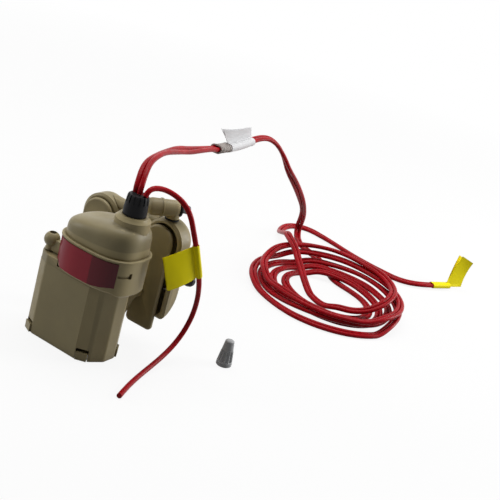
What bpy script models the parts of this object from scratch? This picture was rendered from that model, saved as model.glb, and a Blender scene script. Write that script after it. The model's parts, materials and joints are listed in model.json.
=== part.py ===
"""Small submersible sump pump with a rear float and outlet unit, its lead wires and a loose wire connector.

Metres, +Z up. The pump stands upright on z = 0 with its motor axis on X = Y = 0.
The front of the motor can faces -Y and the float and outlet unit is behind it.
"""

import math

import bpy
import bmesh
import numpy as np
from mathutils import Matrix, Vector

# ---------------------------------------------------------------- general clearances and walls
GAP = 0.0003                 # between pieces that touch
RUN_GAP = 0.0006             # between pieces that turn or slide past each other
WALL = 0.0018                # moulded walls
OFF_STEP = 0.07              # turns a boss, so that its facets don't line up with its bore's

# ---------------------------------------------------------------- motor can
CAN_HALF_WIDTH = 0.0261
CAN_HALF_DEPTH = 0.0150
CAN_FACE_HALF = CAN_HALF_WIDTH - 0.0111      # half the broad front face
CAN_SHOULDER_HALF = CAN_HALF_WIDTH - 0.0046  # where the two corner facets meet
CAN_SHOULDER_DEPTH = CAN_HALF_DEPTH - 0.0034
CAN_SIDE_HALF = 0.0040       # half the flat side
CAN_DRAFT = 0.0003
CAN_HEIGHT = 0.0452          # deck beside the cap
CAN_LEDGE = CAN_HEIGHT - 0.0047           # recess that the cap's skirt drops into
NECK_TOP = CAN_HEIGHT + 0.0068

# ---------------------------------------------------------------- cap
CAP_X = 0.0097
CAP_Y = -0.0012
CAP_HALF_WIDTH = CAN_HALF_WIDTH - 0.0038
CAP_HALF_DEPTH = CAN_HALF_DEPTH + 0.0015
CAP_POWER = 2.8              # superellipse exponent of the plan
SKIRT_BOTTOM = CAN_HEIGHT - 0.0031
SKIRT_TOP = CAN_HEIGHT + 0.0148
BEAD = 0.0007
BEAD_HEIGHT = 0.0013
DOME_INSET = 0.0010
DOME_LOW = 0.0092            # height over the skirt at the left end
DOME_HIGH = 0.0168           # and at the right end
SQUARENESS_LEFT = 0.42       # below 1 the shoulders fill out
SQUARENESS_RIGHT = 0.34
SKIRT_DROP = 0.0016          # the skirt reaches lower where it overhangs the can
COLLAR_X = 0.0206
COLLAR_R = 0.0091
COLLAR_TOP = SKIRT_TOP + 0.0185
SEAT_R = 0.0074
SEAT_TOP = COLLAR_TOP + 0.0011
GLAND_BORE_R = 0.0042
LUG_X = -0.0186
LUG_Y = CAN_HALF_DEPTH - 0.0062
LUG_R = 0.0041
LUG_HEIGHT = 0.0098
SCREW_R = 0.0010
SCREW_HEAD_R = 0.0016
SCREW_LENGTH = 0.0090
LATCH_FROM = -38.0           # plan angles of the latch slit, degrees
LATCH_TO = -15.0
LATCH_Z = CAN_HEIGHT + 0.0065
LATCH_SLIT = 0.0013
LATCH_WINDOW = 0.0024

# ---------------------------------------------------------------- label
LABEL_FROM = -146.5
LABEL_TO = -40.5
LABEL_BOTTOM = CAN_HEIGHT + 0.0004
LABEL_TOP = SKIRT_TOP - 0.0017
LABEL_DIP = 0.0024           # it reaches lower in its middle
LABEL_THICK = 0.0004

# ---------------------------------------------------------------- gland
GLAND_BASE_R = 0.0060
GLAND_TOP_R = 0.0052
GLAND_HEIGHT = 0.0104
GLAND_STEM = 0.0050

# ---------------------------------------------------------------- strainer, volute, motor
FOOT_R = 0.0040
STRAINER_BOTTOM = 0.0026
STRAINER_TOP = 0.0042
SLOT_WIDTH = 0.0013
SLOT_PITCH = 0.0030
SLOT_ROWS = 5
TAB_WIDTH = 0.0060
TAB_BOTTOM = 0.0004
TAB_TOP = 0.0048
TAB_PROUD = 0.0009
WINDOW_TOP = 0.0064
INTAKE_HALF = 0.0110         # notch in the rear rim that lets water under the pump
INTAKE_HEIGHT = 0.0022
VOLUTE_R = CAN_HALF_DEPTH - 0.0030
VOLUTE_TOP = 0.0136
VOLUTE_FLOOR = 0.0013
EYE_R = 0.0040
PORT_X = 0.0088
PORT_Z = 0.0092
PORT_R = 0.0020
PORT_WALL = 0.0011
IMPELLER_R = VOLUTE_R - 0.0026
IMPELLER_DISC = 0.0012
VANES = 5
VANE_THICK = 0.0010
BULKHEAD_THICK = 0.0020
SHAFT_R = 0.0015
SEAL_R = 0.0032
BEARING_R = 0.0042
BEARING_HEIGHT = 0.0026
SHELL_CLEARANCE = 0.0007     # between the motor shell and the can
SHELL_R = CAN_HALF_DEPTH - WALL - SHELL_CLEARANCE
SHELL_WALL = 0.0007
SHELL_TOP = CAN_LEDGE - 0.0039
STATOR_THICK = 0.0053        # from the shell's outside to the bore
STATOR_BORE_R = SHELL_R - STATOR_THICK
MOTOR_HEADROOM = 0.0041      # over the stator, for the upper winding
WINDING_HEIGHT = 0.0032
BRACKET_DISC = 0.0014
BOARD_X0 = -0.0042
BOARD_X1 = 0.0200
BOARD_HALF_Y = 0.0074
BOARD_THICK = 0.0014
CAPACITOR_R = 0.0036
CAPACITOR_HEIGHT = 0.0085
CAPACITOR_X = 0.0155
TERMINAL_X = 0.0020
TERMINAL_SIZE = 0.0085
GASKET_THICK = 0.0010
GASKET_WIDTH = 0.0016

# ---------------------------------------------------------------- rear float and outlet unit
CHAMBER_X = 0.0203           # half the spacing of the two chambers
FLOAT_SHIFT = -0.0018        # the float chamber stands a little further out
FLOAT_DROP = 0.0030          # and lower than the riser chamber
COVER_FRONT = CAN_HALF_DEPTH + 0.0130
COVER_THICK = 0.0023
COVER_HALF = 0.0098
RISER_COVER_HALF = 0.0086
RISER_COVER_X = CHAMBER_X - 0.0012
COVER_BOTTOM = 0.0100
COVER_CORNER = 0.0026
CHAMBER_CORNER = 0.0030
ARCH_Z = 0.0596              # centre height of the arched tops
CHAMBER_R = 0.0121
CHAMBER_BACK = COVER_FRONT + 0.0150
CHAMBER_LOW = 0.0178         # lower edge at the cover
CHAMBER_HIGH = 0.0500        # where the curved bottom meets the back
BACK_ROUND = 0.0050
FRONT_ROUND = 0.0008
BRACE_HALF = 0.0145
BRACE_BOTTOM = 0.0330
BRACE_TOP = 0.0415
BRACE_FLANGE = 0.0020
BRACE_WEB = 0.0030
DUCT_R = 0.0031
DUCT_BORE_R = 0.0020
DUCT_BEND = 0.0038
INLET_X = 0.0150             # behind the can, where the front hides the duct
INLET_Z = 0.0290
LINK_Z = ARCH_Z + 0.0079
LINK_Y = COVER_FRONT + 0.0085
LINK_R = 0.0032
LINK_FLARE_R = 0.0044
LINK_BORE_R = 0.0020

FLOAT_R = 0.0038
FLOAT_HEIGHT = 0.0120
FLOAT_REST = 0.0305
FLOAT_TRAVEL = 0.0180
ROD_R = 0.0010
ROD_SEAT_DEPTH = 0.0008
LEVEL_SLOT_HALF = 0.0009

FLAP_X = INLET_X + 0.0015
FLAP_PIN_Y = COVER_FRONT + 0.0047
FLAP_PIN_Z = 0.0350
FLAP_PIN_R = 0.0008
FLAP_KNUCKLE_R = 0.0017
FLAP_HALF = 0.0045
FLAP_LENGTH = 0.0085
FLAP_THICK = 0.0010

# ---------------------------------------------------------------- outlet elbow and vent plug
PIVOT_X = 0.0211
PIVOT_Y = COVER_FRONT + 0.0053
STUB_R = 0.0024
SPIGOT_R = 0.0015            # the part of the stub that turns in the chamber roof
STUB_BORE_R = 0.0009
BARREL_R = 0.0048
BARREL_Z = ARCH_Z + CHAMBER_R + 0.0061
BARREL_YAW = 56.0            # degrees from +X towards +Y
BARREL_FRONT = 0.0155        # length in front of the pivot
BARREL_BACK = 0.0027         # and behind it
BARREL_SEAM = 0.0072         # seam bead, in front of the pivot
BARREL_BORE_R = 0.0021
RING_R = 0.0041
RING_THICK = 0.0012
BARB_R = 0.0022
BARB_BORE_R = 0.0011
BARB_LENGTH = 0.0050
SEAL_WIDTH = 0.0011
SEAL_HEIGHT = 0.0005

PLUG_Y = COVER_FRONT + 0.0080
PLUG_Z = 0.0440
PLUG_HEAD_R = 0.0033
PLUG_NECK = 0.0022
PLUG_HEAD = 0.0095
PLUG_STEM_R = 0.0015

# ---------------------------------------------------------------- lead wires
WIRE_D = 0.0028
PAIR_HALF = 0.00165          # half the spacing of the two wires that run together
FLOOR_GAP = 0.0001
PAIR_EXIT = (0.0192, 0.0004)         # where the pair and the third wire leave the gland
SINGLE_EXIT = (0.0243, 0.0000)
PAIR_ROUTE = (               # centre of the pair, from the gland to the coil
    (0.0185, 0.0018, 0.0964), (0.0160, 0.0060, 0.0992), (0.0118, 0.0140, 0.1016), (0.0091, 0.0220, 0.1025),
    (0.0053, 0.0330, 0.1021), (0.0018, 0.0450, 0.1008), (-0.0027, 0.0620, 0.0984),
    (-0.0060, 0.0770, 0.0956), (-0.0112, 0.1050, 0.0918), (-0.0126, 0.1180, 0.0902),
    (-0.0148, 0.1400, 0.0892), (-0.0161, 0.1600, 0.0902), (-0.0163, 0.1740, 0.0908),
    (-0.0150, 0.1830, 0.0896), (-0.0132, 0.1920, 0.0850), (-0.0110, 0.2010, 0.0770),
    (-0.0102, 0.2110, 0.0670), (-0.0108, 0.2300, 0.0532), (-0.0122, 0.2440, 0.0431),
    (-0.0143, 0.2580, 0.0324), (-0.0172, 0.2690, 0.0226), (-0.0205, 0.2765, 0.0138),
    (-0.0225, 0.2795, 0.0070),
    (-0.0215, 0.2790, 0.0028), (-0.0165, 0.2715, 0.0015), (-0.0085, 0.2630, 0.0015),
    (0.0010, 0.2575, 0.0015), (0.0110, 0.2525, 0.0015), (0.0210, 0.2450, 0.0015), (0.0310, 0.2360, 0.0015),
    (0.0410, 0.2275, 0.0015),
)
SINGLE_ROUTE = (             # the third wire, from the gland over the side to the floor in front
    (0.0250, 0.0040, 0.0948),
    (0.0264, 0.0086, 0.0946), (0.0286, 0.0128, 0.0934), (0.0315, 0.0162, 0.0914),
    (0.0346, 0.0188, 0.0890), (0.0371, 0.0200, 0.0864), (0.0390, 0.0210, 0.0834),
    (0.0404, 0.0220, 0.0800), (0.0424, 0.0228, 0.0748), (0.0442, 0.0240, 0.0700),
    (0.0460, 0.0262, 0.0620), (0.0471, 0.0304, 0.0520), (0.0469, 0.0352, 0.0420),
    (0.0461, 0.0383, 0.0340), (0.0449, 0.0401, 0.0270), (0.0437, 0.0402, 0.0200),
    (0.0428, 0.0381, 0.0130), (0.0426, 0.0327, 0.0079), (0.0431, 0.0238, 0.0046),
    (0.0441, 0.0134, 0.0026), (0.0456, 0.0030, 0.0017), (0.0474, -0.0062, 0.0015),
    (0.0498, -0.0150, 0.0015), (0.0530, -0.0240, 0.0015),
)
COIL_TURNS = 5.29
COIL_POINTS = 24             # per loop
COIL_START = 70.0            # plan angle at which the pair joins the coil, degrees
COIL_SHAPE = (               # centre, half extents and tilt of each loop in turn, as the heap was wound
    (0.0505, 0.2000, 0.0260, 0.0200, -20.0), (0.0504, 0.1995, 0.0332, 0.0270, -20.0),
    (0.0500, 0.1985, 0.0404, 0.0340, -20.0), (0.0494, 0.1975, 0.0474, 0.0408, -20.0),
    (0.0488, 0.1960, 0.0544, 0.0476, -20.0), (0.0450, 0.2020, 0.0520, 0.0430, -20.0),
    (0.0460, 0.2130, 0.0400, 0.0330, -20.0),
)
COIL_WANDER = 0.0010         # sideways looseness of the loops
COIL_SLOPE = 0.34            # steepest rise or fall of a strand
COIL_CLEAR = 0.0005          # gap between strands that lie on each other
TAIL_ROUTE = (               # from the last loop round the back to the far tag
    (0.0720, 0.1850, 0.0), (0.0610, 0.1810, 0.0), (0.0480, 0.1845, 0.0), (0.0350, 0.1935, 0.0),
    (0.0215, 0.2050, 0.0), (0.0090, 0.2165, 0.0), (-0.0030, 0.2280, 0.0), (-0.0140, 0.2410, 0.0),
    (-0.0255, 0.2590, 0.0),
    (-0.0335, 0.2755, 0.0), (-0.0345, 0.2880, 0.0), (-0.0305, 0.2960, 0.0), (-0.0230, 0.3000, 0.0),
    (-0.0130, 0.2995, 0.0), (0.0030, 0.2950, 0.0), (0.0190, 0.2900, 0.0), (0.0330, 0.2870, 0.0),
    (0.0470, 0.2850, 0.0), (0.0580, 0.2835, 0.0), (0.0680, 0.2845, 0.0), (0.0765, 0.2895, 0.0),
    (0.0830, 0.2985, 0.0), (0.0905, 0.3120, 0.0),
)

# ---------------------------------------------------------------- what is on the wires
SLEEVE_WALL = 0.0008
SLEEVE_FROM = 0.1255         # metres along the pair from the gland
SLEEVE_TO = 0.138
TAG_SHEET = 0.0005
WHITE_TAG_FROM = 0.140
WHITE_TAG_TO = 0.170
WHITE_TAG_REACH = 0.0082
WHITE_TAG_LEAN = 0.0045      # its flag leans back towards the gland
NEAR_TAG_FROM = 0.0484       # metres along the single wire
NEAR_TAG_TO = 0.0674
NEAR_TAG_REACH = 0.0190
NEAR_TAG_SIDE = (-0.37, -0.86, -0.35)
FAR_TAG_LENGTH = 0.0230
FAR_TAG_BACK = 0.0110
FAR_TAG_RISE = 0.0250

# ---------------------------------------------------------------- loose wire connector
NUT_X = 0.0627
NUT_Y = 0.0541
NUT_BASE_R = 0.0043
NUT_TOP_R = 0.0024
NUT_HEIGHT = 0.0152
NUT_WALL = 0.0010
NUT_SIDES = 20

SEG = 32                     # sides of the cap and other large round outlines
ROUND = 16                   # sides of small round pieces


# ================================================================ helpers
def clear_scene():
    for item in list(bpy.data.objects):
        bpy.data.objects.remove(item, do_unlink=True)


def material(name, colour, roughness, metallic=0.0):
    made = bpy.data.materials.new(name)
    made.use_nodes = True
    shader = made.node_tree.nodes["Principled BSDF"]
    shader.inputs["Base Color"].default_value = (*colour, 1.0)
    shader.inputs["Roughness"].default_value = roughness
    shader.inputs["Metallic"].default_value = metallic
    made.diffuse_color = (*colour, 1.0)
    return made


TAN = (0.36, 0.31, 0.22)
DARK_TAN = (0.27, 0.23, 0.16)
BLACK = (0.012, 0.012, 0.014)
RED = (0.42, 0.025, 0.045)
YELLOW = (0.72, 0.62, 0.03)
STEEL = (0.55, 0.56, 0.58)
COPPER = (0.62, 0.27, 0.12)
GREY = (0.30, 0.31, 0.32)
WHITE = (0.75, 0.75, 0.73)
MAROON = (0.30, 0.02, 0.04)
GREEN = (0.03, 0.16, 0.07)


def add_object(name, mesh_or_bm, colour=TAN, roughness=0.5, metallic=0.0, smooth=38.0):
    """Links a mesh under the given name with a material of its own."""
    mesh = mesh_or_bm
    if isinstance(mesh_or_bm, bmesh.types.BMesh):
        mesh = bpy.data.meshes.new(name)
        bmesh.ops.recalc_face_normals(mesh_or_bm, faces=mesh_or_bm.faces)
        mesh_or_bm.to_mesh(mesh)
        mesh_or_bm.free()
    mesh.materials.append(material(name, colour, roughness, metallic))
    mesh.shade_smooth()
    mesh.set_sharp_from_angle(angle=math.radians(smooth))
    made = bpy.data.objects.new(name, mesh)
    bpy.context.scene.collection.objects.link(made)
    return made


def hang_on(made, pivot):
    """Moves a piece's origin to a point on the axis that it moves about."""
    made.data.transform(Matrix.Translation(-Vector(pivot)))
    made.location = pivot


def cutter(name, bm):
    """A shape used only by Boolean modifiers."""
    mesh = bpy.data.meshes.new(name)
    bmesh.ops.recalc_face_normals(bm, faces=bm.faces)
    bm.to_mesh(mesh)
    bm.free()
    made = bpy.data.objects.new(name, mesh)
    bpy.context.scene.collection.objects.link(made)
    made.hide_render = True
    made.display_type = "WIRE"
    return made


def boolean(target, tool, operation="DIFFERENCE"):
    step = target.modifiers.new(tool.name, "BOOLEAN")
    step.operation = operation
    step.solver = "EXACT"
    step.object = tool


def loft(bm, rings, closed=False):
    """Skins rings of equally many points. Open lofts get end faces; closed ones join last to first."""
    rows = [[bm.verts.new(point) for point in ring] for ring in rings]
    count = len(rows[0])
    pairs = list(zip(rows, rows[1:]))
    if closed:
        pairs.append((rows[-1], rows[0]))
    for low, high in pairs:
        for i in range(count):
            j = (i + 1) % count
            bm.faces.new((low[i], low[j], high[j], high[i]))
    if not closed:
        bm.faces.new(list(reversed(rows[0])))
        bm.faces.new(rows[-1])
    return bm


def prism(outline, z0, z1):
    """An upright prism over a plan outline."""
    bm = bmesh.new()
    return loft(bm, [[Vector((x, y, z)) for x, y in outline] for z in (z0, z1)])


def box(bm, low, high, turn=None):
    """Adds an axis-aligned box, or one turned by a matrix."""
    (x0, y0, z0), (x1, y1, z1) = low, high
    plan = ((x0, y0), (x1, y0), (x1, y1), (x0, y1))
    rings = [[Vector((x, y, z)) for x, y in plan] for z in (z0, z1)]
    if turn is not None:
        rings = [[turn @ point for point in ring] for ring in rings]
    return loft(bm, rings)


def turned(profile, sides=ROUND, place=None, bm=None):
    """Turns a closed (radius, height) profile about Z. A radius of 0 closes on the axis."""
    bm = bm or bmesh.new()
    rows = []
    for radius, height in profile:
        if radius == 0.0:
            rows.append([bm.verts.new((0.0, 0.0, height))])
            continue
        angles = [2 * math.pi * i / sides for i in range(sides)]
        rows.append([bm.verts.new((radius * math.cos(a), radius * math.sin(a), height)) for a in angles])
    on_axis = len(rows[0]) == 1
    pairs = list(zip(rows, rows[1:])) if on_axis else list(zip(rows, rows[1:] + rows[:1]))
    for low, high in pairs:
        for i in range(sides):
            j = (i + 1) % sides
            corners = (low[i % len(low)], low[j % len(low)], high[j % len(high)], high[i % len(high)])
            bm.faces.new(list(dict.fromkeys(corners)))
    if place is not None:
        bmesh.ops.transform(bm, matrix=place, verts=[v for row in rows for v in row])
    return bm


def ring_profile(inner, outer, bottom, top):
    return [(inner, bottom), (outer, bottom), (outer, top), (inner, top)]


def along(axis, origin):
    """A matrix that lays +Z along an axis and moves the origin."""
    turn = Vector((0, 0, 1)).rotation_difference(Vector(axis)).to_matrix().to_4x4()
    return Matrix.Translation(Vector(origin)) @ turn


def rod(radius, start, end, sides=ROUND):
    """A plain round bar between two points."""
    start, end = Vector(start), Vector(end)
    length = (end - start).length
    return turned([(0.0, 0.0), (radius, 0.0), (radius, length), (0.0, length)], sides,
                  along(end - start, start))


# ================================================================ outlines
def can_outline(inset=0.0, draft=0.0):
    """The can's plan: broad front and rear faces, two facets at each corner and short flat sides."""
    shrink = inset + draft
    tan_a = (CAN_HALF_DEPTH - CAN_SHOULDER_DEPTH) / (CAN_SHOULDER_HALF - CAN_FACE_HALF)
    tan_b = (CAN_SHOULDER_DEPTH - CAN_SIDE_HALF) / (CAN_HALF_WIDTH - CAN_SHOULDER_HALF)
    quarter = (
        (CAN_FACE_HALF - shrink * math.tan(math.atan(tan_a) / 2), CAN_HALF_DEPTH - shrink),
        (CAN_SHOULDER_HALF - shrink * 0.66, CAN_SHOULDER_DEPTH - shrink * 0.76),
        (CAN_HALF_WIDTH - shrink, CAN_SIDE_HALF - shrink * math.tan((math.pi / 2 - math.atan(tan_b)) / 2)),
    )
    right_rear = [(x, y) for x, y in reversed(quarter)]
    left_rear = [(-x, y) for x, y in quarter]
    left_front = [(-x, -y) for x, y in reversed(quarter)]
    right_front = [(x, -y) for x, y in quarter]
    return right_rear + left_rear + left_front + right_front


def cap_point(angle, offset=0.0):
    """A point of the cap's plan, a superellipse, at an angle in radians."""
    c, s = math.cos(angle), math.sin(angle)
    power = 2.0 / CAP_POWER
    x = (CAP_HALF_WIDTH + offset) * math.copysign(abs(c) ** power, c)
    y = (CAP_HALF_DEPTH + offset) * math.copysign(abs(s) ** power, s)
    return CAP_X + x, CAP_Y + y


def cap_outline(offset=0.0, scale=1.0, sides=SEG):
    points = [cap_point(2 * math.pi * (i + 0.5) / sides, offset) for i in range(sides)]
    return [(CAP_X + (x - CAP_X) * scale, CAP_Y + (y - CAP_Y) * scale) for x, y in points]


def dome_height(x):
    """Height of the dome over the skirt: it rises from the left end to the right one."""
    share = (x - CAP_X + CAP_HALF_WIDTH) / (2 * CAP_HALF_WIDTH)
    return DOME_LOW + (DOME_HIGH - DOME_LOW) * share


def arch_outline(half, bottom, corner=0.0, steps=12):
    """A tombstone outline in local x and absolute z, round on top, with rounded lower corners."""
    points = []
    for i in range(steps + 1):
        angle = math.pi * i / steps
        points.append((half * math.cos(angle), ARCH_Z + half * math.sin(angle)))
    corner = max(corner, 0.0002)
    for centre_x, first in ((-half + corner, 180), (half - corner, 270)):
        for i in range(4):
            angle = math.radians(first + 30 * i)
            points.append((centre_x + corner * math.cos(angle), bottom + corner + corner * math.sin(angle)))
    return points


def arch_ring(centre_x, y, half, bottom, corner=0.0, drop=0.0):
    return [Vector((centre_x + x, y, z - drop)) for x, z in arch_outline(half, bottom, corner)]


# ================================================================ motor can and its inside
def facet_frame(side, rear):
    """Middle of a corner facet at the rim and the matrix that faces +X out of it."""
    start = Vector((CAN_FACE_HALF, CAN_HALF_DEPTH, 0.0))
    end = Vector((CAN_SHOULDER_HALF, CAN_SHOULDER_DEPTH, 0.0))
    if rear:
        start = Vector((CAN_SHOULDER_HALF, CAN_SHOULDER_DEPTH, 0.0))
        end = Vector((CAN_HALF_WIDTH, CAN_SIDE_HALF, 0.0))
    middle = (start + end) / 2
    normal = Vector((start.y - end.y, end.x - start.x, 0.0)).normalized()
    depth = 1.0 if rear else -1.0
    middle = Vector((middle.x * side, middle.y * depth, 0.0))
    normal = Vector((normal.x * side, normal.y * depth, 0.0))
    angle = math.atan2(normal.y, normal.x)
    return Matrix.Translation(middle) @ Matrix.Rotation(angle, 4, "Z")


TAB_PLACES = [(side, rear) for side in (-1, 1) for rear in (False, True)]


def pump_casing():
    bm = bmesh.new()
    rings = [[Vector((x, y, z)) for x, y in can_outline(0.0, draft)]
             for z, draft in ((0.0, 0.0), (CAN_HEIGHT - 0.0006, CAN_DRAFT),
                              (CAN_HEIGHT, CAN_DRAFT + 0.0006))]
    casing = add_object("pump_casing", loft(bm, rings), TAN, 0.48)
    boolean(casing, cutter("cap_recess", prism(cap_outline(GAP), CAN_LEDGE, CAN_HEIGHT + 0.01)))

    neck = cutter("neck", prism(can_outline(CAN_DRAFT), CAN_LEDGE - 0.001, NECK_TOP))
    boolean(neck, cutter("neck_plan", prism(cap_outline(-WALL - 2 * GAP), 0.0, 0.1)), "INTERSECT")
    boolean(casing, neck, "UNION")

    boolean(casing, cutter("can_cavity", prism(can_outline(WALL + CAN_DRAFT), -0.01, CAN_LEDGE - WALL)))
    hollow = cutter("neck_cavity", prism(can_outline(WALL + CAN_DRAFT), CAN_LEDGE - WALL - 0.001,
                                         NECK_TOP + 0.01))
    boolean(hollow, cutter("neck_hollow_plan", prism(cap_outline(-2 * WALL - 2 * GAP), 0.0, 0.1)),
            "INTERSECT")
    boolean(casing, hollow)

    windows = bmesh.new()
    for side, rear in TAB_PLACES:
        box(windows, (-WALL * 2, -TAB_WIDTH / 2 - GAP, -0.01), (0.01, TAB_WIDTH / 2 + GAP, WINDOW_TOP),
            facet_frame(side, rear))
    boolean(casing, cutter("tab_windows", windows))

    rear_cuts = bmesh.new()
    box(rear_cuts, (-INTAKE_HALF, CAN_HALF_DEPTH - 2 * WALL, -0.01),
        (INTAKE_HALF, CAN_HALF_DEPTH + 0.01, INTAKE_HEIGHT))
    boolean(casing, cutter("intake_notch", rear_cuts))
    port = rod(PORT_R, (PORT_X, CAN_HALF_DEPTH - 0.01, PORT_Z), (PORT_X, CAN_HALF_DEPTH + 0.01, PORT_Z))
    boolean(casing, cutter("discharge_hole", port))
    pilots = bmesh.new()
    for y in (-LUG_Y, LUG_Y):
        profile = [(0.0, -SCREW_LENGTH), (SCREW_R + GAP, -SCREW_LENGTH), (SCREW_R + GAP, 0.01), (0.0, 0.01)]
        turned(profile, ROUND, Matrix.Translation((LUG_X, y, CAN_HEIGHT)), pilots)
    boolean(casing, cutter("pilot_holes", pilots))


def strainer_base():
    bm = prism(can_outline(WALL + CAN_DRAFT + GAP), STRAINER_BOTTOM, STRAINER_TOP)
    base = add_object("strainer_base", bm, DARK_TAN, 0.55)
    tabs = bmesh.new()
    for side, rear in TAB_PLACES:
        frame = facet_frame(side, rear)
        box(tabs, (-0.0050, -TAB_WIDTH / 2, TAB_BOTTOM), (TAB_PROUD, TAB_WIDTH / 2, TAB_TOP), frame)
    boolean(base, cutter("tabs", tabs), "UNION")
    feet = bmesh.new()
    turned([(0.0, 0.0), (FOOT_R, 0.0), (FOOT_R, STRAINER_TOP - 0.0004), (0.0, STRAINER_TOP - 0.0004)],
           ROUND, None, feet)
    boolean(base, cutter("centre_foot", feet), "UNION")
    slots = bmesh.new()
    for side in (-1, 1):
        for row in range(SLOT_ROWS):
            x = side * (FOOT_R + SLOT_PITCH * (row + 0.7))
            reach = 0.0085 if row < 3 else 0.0040
            box(slots, (x - SLOT_WIDTH / 2, -reach, 0.001), (x + SLOT_WIDTH / 2, reach, 0.006))
    boolean(base, cutter("strainer_slots", slots))


def volute_housing():
    floor = STRAINER_TOP + GAP
    profile = [(EYE_R, floor), (VOLUTE_R, floor), (VOLUTE_R, VOLUTE_TOP),
               (VOLUTE_R - WALL * 0.7, VOLUTE_TOP),
               (VOLUTE_R - WALL * 0.7, floor + VOLUTE_FLOOR), (EYE_R, floor + VOLUTE_FLOOR)]
    housing = add_object("volute_housing", turned(profile, 24), BLACK, 0.5)
    end_y = CAN_HALF_DEPTH - WALL - CAN_DRAFT - GAP
    start = (PORT_X, 0.0060, PORT_Z)
    boolean(housing, cutter("discharge_nozzle",
                            rod(PORT_R + PORT_WALL, start, (PORT_X, end_y, PORT_Z))), "UNION")
    inner = turned([(0.0, floor + VOLUTE_FLOOR), (VOLUTE_R - WALL * 0.7, floor + VOLUTE_FLOOR),
                    (VOLUTE_R - WALL * 0.7, VOLUTE_TOP + 0.001), (0.0, VOLUTE_TOP + 0.001)], 24)
    boolean(housing, cutter("volute_bowl", inner))
    bore = rod(PORT_R, (PORT_X, 0.004, PORT_Z), (PORT_X, end_y + 0.002, PORT_Z))
    boolean(housing, cutter("nozzle_bore", bore))


BULKHEAD_BOTTOM = VOLUTE_TOP + GAP
BULKHEAD_TOP = BULKHEAD_BOTTOM + BULKHEAD_THICK
BEARING_BOTTOM = BULKHEAD_TOP + GAP
MOTOR_TOP = SHELL_TOP + GAP
UPPER_BEARING_TOP = MOTOR_TOP - GAP
BOARD_BOTTOM = MOTOR_TOP + BRACKET_DISC + GAP
IMPELLER_TOP = VOLUTE_TOP - RUN_GAP


def motor_bulkhead():
    plate = prism(can_outline(WALL + CAN_DRAFT + GAP), BULKHEAD_BOTTOM, BULKHEAD_TOP)
    bulkhead = add_object("motor_bulkhead", plate, DARK_TAN, 0.5)
    hole = rod(SEAL_R + GAP, (0, 0, BULKHEAD_BOTTOM - 0.01), (0, 0, BULKHEAD_TOP + 0.01))
    boolean(bulkhead, cutter("seal_seat", hole))
    seal = turned(ring_profile(SHAFT_R + GAP, SEAL_R, BULKHEAD_BOTTOM, BULKHEAD_TOP))
    add_object("shaft_seal", seal, BLACK, 0.7)


def bearings():
    low = turned(ring_profile(SHAFT_R + GAP, BEARING_R, BEARING_BOTTOM, BEARING_BOTTOM + BEARING_HEIGHT))
    add_object("lower_bearing", low, COPPER, 0.4, 1.0)
    high = turned(ring_profile(SHAFT_R + GAP, BEARING_R, UPPER_BEARING_TOP - BEARING_HEIGHT,
                               UPPER_BEARING_TOP))
    add_object("upper_bearing", high, COPPER, 0.4, 1.0)


STATOR_BOTTOM = BEARING_BOTTOM + BEARING_HEIGHT + WINDING_HEIGHT
STATOR_TOP = SHELL_TOP - MOTOR_HEADROOM


def motor_stator():
    shell = turned(ring_profile(SHELL_R - SHELL_WALL, SHELL_R, BULKHEAD_TOP + GAP, SHELL_TOP), 24)
    add_object("motor_shell", shell, STEEL, 0.35, 1.0)
    outer = SHELL_R - SHELL_WALL - GAP
    core = turned(ring_profile(STATOR_BORE_R, outer, STATOR_BOTTOM, STATOR_TOP), 24)
    add_object("stator_core", core, STEEL, 0.5, 1.0)
    for name, bottom in (("stator_winding_lower", STATOR_BOTTOM - GAP - WINDING_HEIGHT * 0.8),
                         ("stator_winding_upper", STATOR_TOP + GAP)):
        winding = turned(ring_profile(STATOR_BORE_R + 0.0005, outer - 0.0008, bottom,
                                      bottom + WINDING_HEIGHT * 0.8), 16)
        add_object(name, winding, COPPER, 0.35, 1.0)
    low = MOTOR_TOP
    bracket = turned([(SHAFT_R + 3 * GAP, low), (SHELL_R, low), (SHELL_R, low + BRACKET_DISC),
                      (SHAFT_R + 3 * GAP, low + BRACKET_DISC)], 24)
    bracket_object = add_object("bearing_bracket", bracket, STEEL, 0.4, 1.0)
    cup_bottom = UPPER_BEARING_TOP - BEARING_HEIGHT
    cup = turned(ring_profile(BEARING_R + GAP, BEARING_R + GAP + 0.0009, cup_bottom,
                              low + BRACKET_DISC * 0.5), 24)
    boolean(bracket_object, cutter("bearing_cup", cup), "UNION")


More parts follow.
